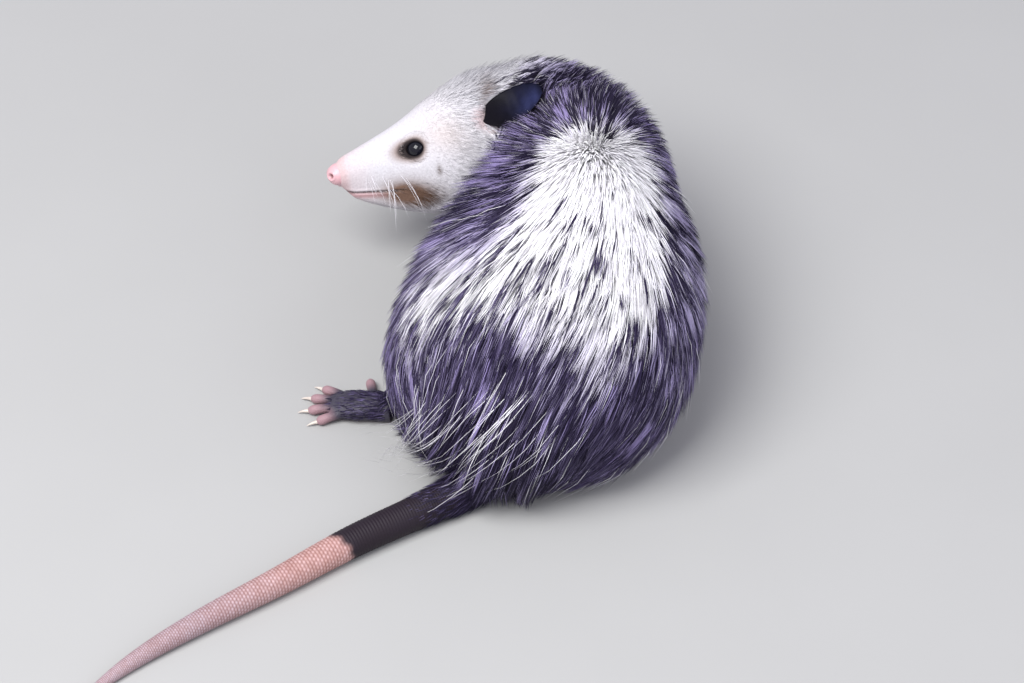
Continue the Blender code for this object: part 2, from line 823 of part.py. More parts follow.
def build_toe(start, heading, leave, length, collection):
    """A toe that starts inside the sole and ends in a small face for the claw."""
    steps = ((leave - 0.006, 0.0052, 1.0), (leave + length * 0.45, 0.0046, 1.0))
    steps += ((leave + length * 0.85, 0.0030, 0.95), (leave + length, 0.0026, 0.62))
    path = [foot_spot(start, heading, ahead, z) for ahead, z, _ in steps]
    radii = [TOE_RADIUS * size for _, _, size in steps]
    return tube("toe", path, radii, 7, collection)


def build_claw(name, start, heading, reach, nodes):
    path = []
    for ahead, z, _ in CLAW:
        path.append(foot_spot(start, heading, reach + max(GAP, ahead * CLAW_LENGTH), z))
    return tube(name, path, [CLAW_RADIUS * size for _, _, size in CLAW], 5, nodes)


def build_foot(name, nodes, helpers):
    """The sole with its toes as one solid, and a claw before each toe but the thumb."""
    start, heading, hand = FEET[name]
    hind = "hind" in name
    sole = FOOT_SOLE if hind else HAND_SOLE
    path = [foot_spot(start, heading, GAP + ahead, high * 0.82) for ahead, _, high in sole]
    foot = tube(name, path, [(wide, high) for _, wide, high in sole], 12, nodes)
    toes = []
    for k, (angle, leave, length) in enumerate(FOOT_TOES if hind else HAND_TOES):
        spread = foot_spot(start, heading, leave * 0.45, 0.0)
        turned = heading + hand * angle
        toes.append(build_toe(spread, turned, leave * 0.62, length, helpers))
        claw = name.replace("foot", "claw") + f"_{k + 1}"
        build_claw(claw, spread, turned, leave * 0.62 + length, nodes)
    if hind:
        angle, leave, length = FOOT_THUMB
        spread = foot_spot(start, heading, leave * 0.8, 0.0)
        toes.append(build_toe(spread, heading + hand * angle, 0.007, length, helpers))
    unite(foot, toes)
    return foot


# The tail

def tail_point(share, angle):
    stations = [(i / (len(TAIL) - 1), *row) for i, row in enumerate(TAIL)]
    x, y, radius = smooth(stations, share)
    ahead = smooth(stations, min(share + 0.01, 1.0))
    behind = smooth(stations, max(share - 0.01, 0.0))
    along = Vector((ahead[0] - behind[0], ahead[1] - behind[1], 0.0)).normalized()
    side = along.cross(Vector((0.0, 0.0, 1.0)))
    rise = 0.018 * max(0.0, 1 - share / 0.2) ** 2
    centre = Vector((x, y, radius * 0.93 + rise))
    point = centre + side * radius * math.cos(angle)
    point.z += radius * math.sin(angle)
    point.z = max(point.z, 0.0)
    return point


def build_tail_length(name, start, end, rings, nodes):
    stations = []
    for i in range(rings):
        share = start + (end - start) * i / (rings - 1)
        stations.append(
            [tail_point(share, math.tau * k / TAIL_SIDES) for k in range(TAIL_SIDES)]
        )
    return loft(name, stations, nodes)


def material_of(name):
    if name.startswith("claw"):
        return "claw"
    if name.startswith(("foot", "leg")):
        return "black_fur"
    plain = {
        "head": "white_fur",
        "nose": "pink_skin",
        "ear_left": "ear_skin",
        "ear_right": "ear_skin",
        "eye_left": "eye",
        "eye_right": "eye",
        "tail_base": "tail_dark",
    }
    return plain.get(name, "tail_pale" if name.startswith("tail") else "grizzled_coat")


def main():
    clear_scene()
    nodes = new_collection("opossum")
    helpers = new_collection("helpers")
    materials = {name: new_material(name) for name in COLOURS}

    torso, neck = build_body(nodes, helpers)
    head = build_head(nodes, helpers)
    nose = build_nose(nodes, helpers)
    eyes = [build_eye("eye_left", 1, nodes), build_eye("eye_right", -1, nodes)]
    ears = [build_ear(name, nodes) for name in EARS]
    legs = {name: build_leg(name, nodes) for name in LEGS}
    feet = {name: build_foot(name, nodes, helpers) for name in FEET}
    slack = GAP / 0.3
    tail_base = build_tail_length("tail_base", 0.0, TAIL_DARK_END, 8, nodes)
    build_tail_length("tail_middle", TAIL_DARK_END + slack, TAIL_TIP_START, 8, nodes)
    build_tail_length("tail_tip", TAIL_TIP_START + slack, 1.0, 7, nodes)

    skull = loft("skull", head_rings(SKULL, HEAD_BACK, SIDES, 15), helpers)
    give_room(neck, [skull], helpers)
    for foot, leg in zip(feet.values(), legs.values()):
        give_room(leg, [foot, skull], helpers)
    bpy.data.objects.remove(skull, do_unlink=True)
    claws = [obj for obj in nodes.objects if obj.name.startswith("claw")]
    give_room(head, [nose, *eyes, *ears], helpers)
    give_room(neck, [*legs.values(), *ears], helpers)
    give_room(torso, [*legs.values(), *feet.values(), *claws, tail_base], helpers)

    for obj in nodes.objects:
        obj.data.shade_smooth()
        obj.data.materials.clear()
        obj.data.materials.append(materials[material_of(obj.name)])


main()
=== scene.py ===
import math

import bmesh
import bpy
import numpy as np
from mathutils import Matrix, Vector
from mathutils.bvhtree import BVHTree
from mathutils.kdtree import KDTree


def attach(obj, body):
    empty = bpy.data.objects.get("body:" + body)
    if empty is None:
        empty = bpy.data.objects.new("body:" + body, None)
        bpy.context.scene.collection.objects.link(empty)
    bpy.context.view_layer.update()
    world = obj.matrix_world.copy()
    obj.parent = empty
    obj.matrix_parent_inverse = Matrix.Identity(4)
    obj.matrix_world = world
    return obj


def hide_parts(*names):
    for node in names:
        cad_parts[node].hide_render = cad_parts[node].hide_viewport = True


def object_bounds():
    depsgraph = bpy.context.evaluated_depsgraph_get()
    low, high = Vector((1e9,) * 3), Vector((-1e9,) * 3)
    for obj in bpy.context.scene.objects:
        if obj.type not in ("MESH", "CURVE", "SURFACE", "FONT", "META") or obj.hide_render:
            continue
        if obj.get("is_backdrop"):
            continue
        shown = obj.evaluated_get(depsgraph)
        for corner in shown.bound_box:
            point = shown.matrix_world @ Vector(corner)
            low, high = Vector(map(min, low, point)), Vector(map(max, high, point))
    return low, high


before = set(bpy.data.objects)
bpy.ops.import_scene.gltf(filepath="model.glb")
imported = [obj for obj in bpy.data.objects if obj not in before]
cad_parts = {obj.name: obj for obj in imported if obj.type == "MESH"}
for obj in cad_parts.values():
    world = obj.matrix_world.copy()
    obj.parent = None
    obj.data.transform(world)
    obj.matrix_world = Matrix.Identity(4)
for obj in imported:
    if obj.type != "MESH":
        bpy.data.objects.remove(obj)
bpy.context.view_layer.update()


# SKIN
# The animal's hide over flesh and bone: one closed surface from the rump over the bent neck
# to the nose, with the four legs fused to it. It is lofted through rings, and the hair of
# the coat is rooted in it.

TRUNK = (
    # along  x       y       z      heading  width   height  lean
    (0.00, -0.006, -0.1225, 0.048, -20.0, 0.0330, 0.0300, 0.004),
    (0.08, -0.001, -0.1080, 0.055, -16.0, 0.0580, 0.0470, 0.010),
    (0.20, 0.004, -0.0840, 0.062, -13.0, 0.0740, 0.0590, 0.018),
    (0.34, 0.010, -0.0520, 0.068, -10.0, 0.0770, 0.0670, 0.023),
    (0.48, 0.018, -0.0180, 0.071, -7.0, 0.0710, 0.0710, 0.024),
    (0.60, 0.026, 0.0140, 0.072, -2.0, 0.0610, 0.0700, 0.019),
    (0.72, 0.032, 0.0440, 0.076, 10.0, 0.0530, 0.0590, 0.013),
    (0.84, 0.028, 0.0700, 0.079, 32.0, 0.0450, 0.0460, 0.006),
)
# How much narrower the trunk is along the spine than at half its height.
TRUNK_PEAR = 0.12
NECK_START = 0.80
FLOOR_GAP = 0.004

NOSE_TIP = np.array((-0.1130, 0.0770, 0.0690))
FORWARD = np.array((-0.9850, -0.1580, -0.0880))
FORWARD /= np.linalg.norm(FORWARD)
HEAD_ROLL = math.radians(20.5)
SKULL = (
    # back    width   crown   under    pear
    (0.005, 0.0052, 0.0036, -0.0078, 0.05),
    (0.009, 0.0080, 0.0074, -0.0100, 0.08),
    (0.018, 0.0110, 0.0112, -0.0112, 0.12),
    (0.030, 0.0142, 0.0162, -0.0124, 0.20),
    (0.042, 0.0184, 0.0214, -0.0150, 0.24),
    (0.053, 0.0230, 0.0272, -0.0220, 0.22),
    (0.066, 0.0290, 0.0350, -0.0320, 0.16),
    (0.080, 0.0342, 0.0405, -0.0375, 0.10),
    (0.096, 0.0372, 0.0425, -0.0395, 0.06),
    (0.110, 0.0380, 0.0425, -0.0400, 0.04),
    (0.135, 0.0370, 0.0410, -0.0390, 0.03),
)
JAW = (
    # back    width    top      under
    (0.0070, 0.0016, -0.0086, -0.0100),
    (0.0105, 0.0036, -0.0100, -0.0144),
    (0.0150, 0.0066, -0.0098, -0.0192),
    (0.0300, 0.0108, -0.0090, -0.0262),
    (0.0460, 0.0152, -0.0090, -0.0315),
    (0.0620, 0.0212, -0.0100, -0.0352),
    (0.0780, 0.0262, -0.0100, -0.0368),
)
HEAD_BACK = 0.132
NOSE_END = 0.0055
# The last rings of the head slant, so that it meets the bent neck squarely.
SLANT_START = 0.055
SLANT_LEFT = 0.028
SLANT_UNDER = 0.012
JAW_BLEND = 0.0007
RING_POINTS = 720
SKIN_SIDES = 160
MOUTH_BACK = 0.047
MOUTH_FRONT = 0.0085
MOUTH_DEPTH = 0.0017
MOUTH_WIDTH = 0.00055
LIPS = (
    # swell   over the mouth  spread
    (0.0005, 0.0015, 0.0010),
    (0.0003, -0.0015, 0.0009),
)
CHEEK_SWELL = 0.0012


def unit(vectors):
    """The vectors at length 1."""
    return vectors / np.maximum(np.linalg.norm(vectors, axis=-1, keepdims=True), 1e-12)


def stations(rows, at):
    """The values of a table at places along it, on a curve through its rows."""
    rows = np.array(rows)
    at = np.atleast_1d(np.asarray(at, float))
    places, values = rows[:, 0], rows[:, 1:]
    i = np.clip(np.searchsorted(places, at, side="right") - 1, 0, len(rows) - 2)
    span = (places[i + 1] - places[i])[:, None]
    u = np.clip((at[:, None] - places[i][:, None]) / span, 0, 1)
    before, after = np.maximum(i - 1, 0), np.minimum(i + 2, len(rows) - 1)
    first = (values[i + 1] - values[before]) / (places[i + 1] - places[before])[:, None] * span
    second = (values[after] - values[i]) / (places[after] - places[i])[:, None] * span
    return (
        values[i] * (1 + 2 * u) * (1 - u) ** 2
        + first * u * (1 - u) ** 2
        + values[i + 1] * u * u * (3 - 2 * u)
        - second * u * u * (1 - u)
    )


def trunk_rings(places):
    """Rings round the trunk, leaning to its right where the body bends."""
    x, y, z, heading, width, height, lean = stations(TRUNK, places).T[:, :, None]
    angle = math.tau * np.arange(SKIN_SIDES) / SKIN_SIDES
    turn = np.radians(heading)
    across = width * np.cos(angle) * (1 - TRUNK_PEAR * np.sin(angle))
    across = across + lean * (1 + np.sin(angle)) / 2
    up = z + height * np.sin(angle)
    up = np.maximum(up, FLOOR_GAP)
    return np.stack((x + np.cos(turn) * across, y + np.sin(turn) * across, up), axis=-1)


def head_axes():
    """Directions to the rolled head's left and to its crown."""
    level = np.cross((0.0, 0.0, 1.0), FORWARD)
    turn = Matrix.Rotation(HEAD_ROLL, 3, Vector(FORWARD))
    left = np.array(turn @ Vector(unit(level)))
    return left, unit(np.cross(FORWARD, left))


LEFT, CROWN = head_axes()
HEAD_TURN = Matrix((-Vector(FORWARD), Vector(LEFT), Vector(CROWN))).transposed()


def in_head(back, side, up):
    """World points from distances behind the nose, to the head's left and up."""
    back, side, up = (np.asarray(v, float)[..., None] for v in (back, side, up))
    return NOSE_TIP - FORWARD * back + LEFT * side + CROWN * up


def head_places(points):
    """Distances behind the nose, to the head's left and up, of world points."""
    away = points - NOSE_TIP
    return -(away @ FORWARD), away @ LEFT, away @ CROWN


def mouth_level(back):
    """How high the line between the lips runs."""
    return -0.0118 - 0.0012 * np.clip((MOUTH_BACK - back) / 0.035, 0, 1)


def bump_at(value, centre, spread):
    """1 at the centre, falling off to both sides on a bell curve."""
    return np.exp(-(((value - centre) / spread) ** 2))


def ramp(value, low, high):
    """0 below low, 1 above high, and smooth between them; high may be the lower one."""
    u = np.clip((value - low) / (high - low), 0, 1)
    return u * u * (3 - 2 * u)


def head_rings(backs):
    """Rings round skull and jaw, evenly spaced from crown to chin, with the lips carved."""
    backs = np.asarray(backs, float)[:, None]
    normal = math.pi - math.tau * np.arange(RING_POINTS) / RING_POINTS
    left, up = np.cos(normal)[None, :], np.sin(normal)[None, :]
    slant = np.maximum(0, (backs - SLANT_START) / (HEAD_BACK - SLANT_START)) ** 2
    spot = backs - slant * (SLANT_LEFT * (1 + left) / 2 + SLANT_UNDER * (1 - up) / 2)
    shape = spot.shape
    width, crown, under, pear = stations(SKULL, spot.ravel()).T.reshape(4, *shape)
    jaw_width, jaw_top, jaw_under = stations(JAW, spot.ravel()).T.reshape(3, *shape)
    middle, half = (crown + under) / 2, (crown - under) / 2
    skull = middle * up + np.hypot(width * left, half * up)
    jaw = (jaw_top + jaw_under) / 2 * up
    jaw = jaw + np.hypot(jaw_width * left, (jaw_top - jaw_under) / 2 * up)
    reach = JAW_BLEND * np.logaddexp(skull / JAW_BLEND, jaw / JAW_BLEND)
    turned = -(np.roll(reach, -1, 1) - np.roll(reach, 1, 1)) / (2 * math.tau / RING_POINTS)
    side = reach * left - turned * up
    high = reach * up + turned * left
    side = side * (1 - pear * (high - middle) / half)
    rings = []
    for ring in zip(spot, side, high):
        from_crown = np.roll(np.stack(ring, axis=-1), -(RING_POINTS // 4), 0)
        loop = np.vstack((from_crown, from_crown[:1]))
        paces = np.linalg.norm(np.diff(loop[:, 1:], axis=0), axis=1)
        run = np.concatenate(((0,), np.cumsum(paces)))
        want = run[-1] * np.arange(SKIN_SIDES) / SKIN_SIDES
        even = np.stack([np.interp(want, run, loop[:, c]) for c in range(3)], axis=-1)
        rings.append(np.roll(even, SKIN_SIDES // 4, 0))
    back, side, high = np.moveaxis(np.array(rings), -1, 0)
    lip = ramp(back, MOUTH_FRONT, MOUTH_FRONT + 0.003) * ramp(back, MOUTH_BACK, MOUTH_BACK - 0.006)
    drop = high - mouth_level(back)
    pull = MOUTH_DEPTH * bump_at(drop, 0, MOUTH_WIDTH)
    for swell, level, spread in LIPS:
        pull = pull - swell * bump_at(drop, level, spread)
    side = side - np.sign(side) * np.minimum(pull * lip, np.abs(side) * 0.5)
    cheek = bump_at(back, 0.074, 0.016) * bump_at(high, -0.012, 0.014)
    side = side + np.sign(side) * CHEEK_SWELL * cheek
    return in_head(back, side, high)


def neck_rings(shares):
    """Rings that carry the end of the trunk over into the back of the head."""
    first = trunk_rings([NECK_START])[0]
    last = head_rings([HEAD_BACK])[0]
    turn = math.radians(stations(TRUNK, NECK_START)[0][3])
    forward = np.array((-math.sin(turn), math.cos(turn), 0.0))
    pull = np.maximum(0, (last - first) @ (forward + FORWARD) / 2)[:, None]
    rings = []
    for share in shares:
        rings.append(
            first * (1 + 2 * share) * (1 - share) ** 2
            + forward * pull * share * (1 - share) ** 2
            + last * share * share * (3 - 2 * share)
            - FORWARD * pull * share * share * (1 - share)
        )
    return np.array(rings)


chance = np.random.default_rng(5)


class Hide:
    """A grid of rings over a part of the body, on which hair is placed and combed."""

    def __init__(self, points):
        self.points = points
        along = np.gradient(points, axis=0)
        round_it = (np.roll(points, -1, 1) - np.roll(points, 1, 1)) / 2
        self.step_along = np.maximum(np.linalg.norm(along, axis=-1), 1e-5)
        self.step_round = np.maximum(np.linalg.norm(round_it, axis=-1), 1e-5)
        self.along, self.round = unit(along), unit(round_it)
        normal = unit(np.cross(self.along, self.round))
        centre = points.mean(1, keepdims=True)
        if ((points - centre) * normal).sum() < 0:
            normal = -normal
        self.normal = normal
        self.area = self.step_along * self.step_round

    def at(self, field, i, k):
        """A field's values at places between rings i and sides k of the grid."""
        rows, sides = field.shape[:2]
        i = np.clip(i, 0, rows - 1.001)
        k = np.mod(k, sides)
        i0, k0 = i.astype(int), k.astype(int)
        u, v = i - i0, k - k0
        if field.ndim == 3:
            u, v = u[:, None], v[:, None]
        k0 = k0 % sides
        k1 = (k0 + 1) % sides
        near = field[i0, k0] * (1 - v) + field[i0, k1] * v
        far = field[i0 + 1, k0] * (1 - v) + field[i0 + 1, k1] * v
        return near * (1 - u) + far * u

    def scatter(self, count, weight):
        """Random places, more of them where the weight is larger."""
        share = (self.area * weight).ravel()
        cells = chance.choice(share.size, count, p=share / share.sum())
        i, k = np.divmod(cells, self.points.shape[1])
        return i + chance.uniform(-0.5, 0.5, count), k + chance.uniform(-0.5, 0.5, count)


def mesh_from_grid(name, points):
    """A closed surface over a grid of rings."""
    rows, sides = points.shape[:2]
    spots = np.vstack((points.reshape(-1, 3), points[0].mean(0), points[-1].mean(0)))
    faces = []
    for r in range(rows - 1):
        for k in range(sides):
            a, b = r * sides + k, r * sides + (k + 1) % sides
            faces.append((a, b, b + sides, a + sides))
    first, last = len(spots) - 2, len(spots) - 1
    for k in range(sides):
        faces.append((first, (k + 1) % sides, k))
        faces.append((last, (rows - 1) * sides + k, (rows - 1) * sides + (k + 1) % sides))
    mesh = bpy.data.meshes.new(name)
    mesh.from_pydata(spots.tolist(), [], faces)
    obj = bpy.data.objects.new(name, mesh)
    bpy.context.scene.collection.objects.link(obj)
    face_outwards(obj)
    return obj


def face_outwards(obj):
    """Turns all faces outwards and shades them smooth."""
    bm = bmesh.new()
    bm.from_mesh(obj.data)
    bmesh.ops.recalc_face_normals(bm, faces=bm.faces)
    bm.to_mesh(obj.data)
    bm.free()
    obj.data.shade_smooth()


def corners(obj):
    """The places of all corner points of a mesh."""
    spots = np.empty(len(obj.data.vertices) * 3)
    obj.data.vertices.foreach_get("co", spots)
    return spots.reshape(-1, 3)


def paint(obj, colours):
    """Stores a colour for every corner point, which the finish reads as tint."""
    tint = obj.data.color_attributes.get("tint")
    if tint is None:
        tint = obj.data.color_attributes.new("tint", "FLOAT_COLOR", "POINT")
    full = np.ones((len(colours), 4), np.float32)
    full[:, :3] = colours
    tint.data.foreach_set("color", full.ravel())


def bake_modifiers(obj):
    """Makes the object's modifiers part of a plain mesh."""
    graph = bpy.context.evaluated_depsgraph_get()
    mesh = bpy.data.meshes.new_from_object(obj.evaluated_get(graph))
    obj.modifiers.clear()
    obj.data = mesh


class Wire:
    """A socket of a finish that sums can be written on."""

    def __init__(self, finish, socket):
        self.finish = finish
        self.socket = socket

    def sum(self, operation, *values):
        return self.finish.node("ShaderNodeMath", {"operation": operation}, dict(enumerate(values)))

    def __sub__(self, other):
        return self.sum("SUBTRACT", self, other)

    def __rsub__(self, other):
        return self.sum("SUBTRACT", other, self)

    def __mul__(self, other):
        return self.sum("MULTIPLY", self, other)

    __rmul__ = __mul__


class Finish:
    """A material, built node by node."""

    def __init__(self, name, **constants):
        self.material = bpy.data.materials.new(name)
        self.material.use_nodes = True
        self.tree = self.material.node_tree
        self.shader = self.tree.nodes["Principled BSDF"]
        for socket, value in constants.items():
            self.shader.inputs[socket.replace("_", " ")].default_value = value

    def node(self, kind, settings, inputs, output=0):
        node = self.tree.nodes.new(kind)
        for name, value in settings.items():
            setattr(node, name, value)
        for key, value in inputs.items():
            if isinstance(value, Wire):
                self.tree.links.new(value.socket, node.inputs[key])
            else:
                node.inputs[key].default_value = value
        return Wire(self, node.outputs[output])

    def set(self, socket, wire):
        self.tree.links.new(wire.socket, self.shader.inputs[socket])

    def place(self):
        return self.node("ShaderNodeTexCoord", {}, {}, "Object")

    def tint(self):
        """The colour that paint stores on a mesh."""
        return self.node("ShaderNodeAttribute", {"attribute_name": "tint"}, {}, "Color")

    def noise(self, scale, detail=3.0):
        values = {"Vector": self.place(), "Scale": scale, "Detail": detail}
        return self.node("ShaderNodeTexNoise", {}, values, "Fac")

    def cells(self, scale):
        """A pattern of small cells, dark in their middles."""
        values = {"Vector": self.place(), "Scale": scale}
        return self.node("ShaderNodeTexVoronoi", {}, values, "Distance")

    def mix(self, share, first, second, blend="MIX"):
        settings = {"data_type": "RGBA", "blend_type": blend}
        return self.node("ShaderNodeMix", settings, {0: share, 6: first, 7: second}, 2)

    def between(self, wire, low, high):
        """How far the wire's value is from low to high, kept from 0 to 1."""
        settings = {"operation": "MULTIPLY", "use_clamp": True}
        return self.node("ShaderNodeMath", settings, {0: wire - low, 1: 1 / (high - low)})

    def bump(self, height, strength, distance):
        values = {"Height": height, "Strength": strength, "Distance": distance}
        self.set("Normal", self.node("ShaderNodeBump", {}, values))


def colour(*rgb):
    return (*rgb, 1.0)


# Small rings that close the rump behind the first ring of the trunk.
rump_backs = np.array((0.0125, 0.0105, 0.0085, 0.0045))
rump_shares = np.array((0.30, 0.55, 0.72, 0.92))
trunk_places = np.linspace(0, NECK_START, 56)
neck_shares = np.linspace(0, 1, 26)[1:-1]
head_backs = HEAD_BACK - (HEAD_BACK - NOSE_END) * np.linspace(0, 1, 118)
base = trunk_rings([0.0])[0]
centre = stations(TRUNK, 0.0)[0]
heading = math.radians(centre[3])
rearward = -np.array((-math.sin(heading), math.cos(heading), 0.0))
rump = np.array(
    [
        centre[:3] + (base - centre[:3]) * share + rearward * back
        for share, back in zip(rump_shares, rump_backs)
    ]
)
body_grid = np.concatenate(
    (rump, trunk_rings(trunk_places), neck_rings(neck_shares), head_rings(head_backs))
)
# Place along the body: 0 at the rump, 0.8 where the neck starts, 1 at the back of the head
# and 2 at the nose.
body_place = np.concatenate(
    (
        np.linspace(-0.06, -0.01, len(rump)),
        trunk_places,
        NECK_START + 0.2 * neck_shares,
        1 + (HEAD_BACK - head_backs) / HEAD_BACK,
    )
)
body = Hide(body_grid)

LEGS = {
    "leg_front_left": (
        # row x       y      z      radius
        (0, 0.005, 0.020, 0.050, 0.0170),
        (1, -0.011, 0.045, 0.036, 0.0155),
        (2, -0.017, 0.073, 0.022, 0.0118),
        (3, -0.014, 0.098, 0.0105, 0.0082),
    ),
    "leg_front_right": (
        (0, 0.070, 0.034, 0.050, 0.0170),
        (1, 0.081, 0.061, 0.036, 0.0155),
        (2, 0.084, 0.090, 0.022, 0.0118),
        (3, 0.078, 0.115, 0.0105, 0.0082),
    ),
    "leg_hind_left": (
        (0, -0.020, -0.050, 0.045, 0.0230),
        (1, -0.040, -0.056, 0.032, 0.0190),
        (2, -0.058, -0.061, 0.018, 0.0130),
        (3, -0.071, -0.063, 0.0110, 0.0088),
    ),
    "leg_hind_right": (
        (0, 0.042, -0.050, 0.045, 0.0230),
        (1, 0.064, -0.058, 0.032, 0.0190),
        (2, 0.079, -0.055, 0.018, 0.0130),
        (3, 0.084, -0.042, 0.0110, 0.0088),
    ),
}


LEG_RINGS = 26
LEG_SIDES = 28
# The last ring closes the foot end of a leg, a little past its last row.
LEG_END = 3.12
LEG_SLIM = 0.94


def tube_grid(path, radii, sides):
    """Rings of ellipses along a path; radii are numbers or (side, up) pairs."""
    path = np.asarray(path, float)
    radii = np.asarray([r if np.ndim(r) else (r, r) for r in radii], float)
    along = unit(np.gradient(path, axis=0))
    side = unit(np.cross(along, (0.0, 0.0, 1.0)))
    out = np.cross(side, along)
    angle = math.tau * np.arange(sides) / sides
    rings = (
        path[:, None]
        + side[:, None] * (radii[:, :1] * np.cos(angle))[..., None]
        + out[:, None] * (radii[:, 1:] * np.sin(angle))[..., None]
    )
    rings[..., 2] = np.maximum(rings[..., 2], 0.0)
    return rings


leg_hides = {}
for name, rows in LEGS.items():
    values = stations(rows, np.linspace(0, LEG_END, LEG_RINGS))
    leg_hides[name] = Hide(tube_grid(values[:, :3], values[:, 3] * LEG_SLIM, LEG_SIDES))

skin = mesh_from_grid("skin", body.points)
for name, hide in leg_hides.items():
    leg = mesh_from_grid(name + "_flesh", hide.points)
    join = skin.modifiers.new(name, "BOOLEAN")
    join.operation = "UNION"
    join.object = leg
    join.solver = "MANIFOLD"
bake_modifiers(skin)
for name in LEGS:
    bpy.data.objects.remove(bpy.data.objects[name + "_flesh"])
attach(skin, "root")
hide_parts("torso", "neck", "head", *LEGS)


# MARKINGS
# What colour the coat has where: white face, a white patch on the back with a tongue that
# runs to the rump, black-tipped hair round it, grey flanks, black legs. Skin and hair ask
# the same functions.

WHITE = np.array((0.96, 0.94, 0.98))
LILAC = np.array((0.415, 0.335, 0.68))
DARK = np.array((0.011, 0.007, 0.026))
BROWN = np.array((0.22, 0.13, 0.09))

# The white patch of the back, by place along the body: the angle of its middle, half its
# width in degrees, and how white it is.
PATCH_MIDDLE = ((0.0, 0.1, 0.2, 0.3, 0.4, 0.55), (60, 74, 79, 81, 82, 83))
PATCH_HALF = ((0.0, 0.1, 0.2, 0.3, 0.4, 0.5, 0.58, 0.66), (10, 34, 40, 39, 37, 35, 28, 9))
PATCH_PEAK = ((0.0, 0.1, 0.2, 0.3, 0.38, 0.58, 0.64), (0.06, 0.52, 0.86, 0.97, 1, 1, 0))
LEFT_FLANK_WHITE = 0.80
RIGHT_FLANK_WHITE = 0.16


def whiteness(place, angle):
    """How white the coat is, from 0 to 1, at a place along and an angle round the body."""
    middle = np.interp(place, *PATCH_MIDDLE)
    half = np.interp(place, *PATCH_HALF)
    peak = np.interp(place, *PATCH_PEAK)
    patch = peak * ramp(np.abs(angle - middle), half * 1.3, half * 0.75)
    flank = LEFT_FLANK_WHITE * ramp(angle, 102, 122) * ramp(angle, 184, 158)
    flank = flank * bump_at(place, 0.155, 0.12) * ramp(place, 0.02, 0.11)
    right_flank = RIGHT_FLANK_WHITE * ramp(angle, 52, 38) * ramp(angle, -1, 12)
    flank = flank + right_flank * bump_at(place, 0.38, 0.20)
    nape = 0.83 - 0.03 * bump_at(angle, 140, 35)
    crown = ramp(place, nape, nape + 0.24) * ramp(angle, 35, 70) * ramp(angle, 250, 215)
    return np.clip(np.maximum(patch, crown) + flank, 0, 1)


def greyness(place, angle):
    """How far the dark hair is greyed to lilac, from 0 to 1."""
    flank = 0.75 * ramp(place, 0.52, 0.34) * ramp(place, -0.02, 0.10)
    return np.clip(0.10 + flank * (0.6 + 0.4 * ramp(angle, 90, 140)), 0, 1)


# EYES
# Two round, almost black eyes set deep behind dark lids. The balls are smooth and wet; the
# lids are rims that the skin closes on.

EYES = {"eye_left": 1, "eye_right": -1}
EYE_CENTRE = (0.0560, 0.0152, 0.0114)
EYE_RADIUS = 0.0064
EYE_SINK = 0.0010
EYE_LOOK = (-0.36, 0.80, 0.45)
LID_RADIUS = 0.0048
LID_REACH = 0.0104
LID_TURNS = 96
LID_STEPS = 22
SOCKET_RADIUS = 0.0070
SOCKET_DEPTH = 0.0020

LID_TINT = np.array((0.022, 0.015, 0.016))
PINK_SKIN = (0.70, 0.46, 0.45)
LIP_SKIN = (0.60, 0.31, 0.32)
# Painted shade for the crease between the lips.
MOUTH_CREASE_SHADE = (0.10, 0.04, 0.04)
EAR_FOOT_SKIN = (0.50, 0.33, 0.33)
BROW_CREAM = (0.62, 0.50, 0.44)

eye_finish = Finish("wet_eye", Roughness=0.06, Specular_IOR_Level=0.4)
eye_cloud = eye_finish.noise(260.0)
eye_dark, eye_paler = colour(0.003, 0.004, 0.008), colour(0.010, 0.009, 0.014)
eye_finish.set("Base Color", eye_finish.mix(eye_cloud, eye_dark, eye_paler))

eye_frames = {}
for name, side in EYES.items():
    back, out, up = EYE_CENTRE
    spot = in_head(back, side * out, up).ravel()
    back, out, up = EYE_LOOK
    look = np.array(HEAD_TURN @ Vector((back, side * out, up)).normalized())
    spot = spot - look * EYE_SINK
    ahead = unit(FORWARD - look * (FORWARD @ look))
    eye_frames[name] = (spot, look, ahead, np.cross(look, ahead))
    bm = bmesh.new()
    bmesh.ops.create_uvsphere(bm, u_segments=48, v_segments=32, radius=EYE_RADIUS)
    bm.transform(Matrix.Translation(spot))
    mesh = bpy.data.meshes.new(name + "_ball")
    bm.to_mesh(mesh)
    bm.free()
    ball = bpy.data.objects.new(name + "_ball", mesh)
    bpy.context.scene.collection.objects.link(ball)
    mesh.shade_smooth()
    mesh.materials.append(eye_finish.material)
    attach(ball, "root")
    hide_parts(name)

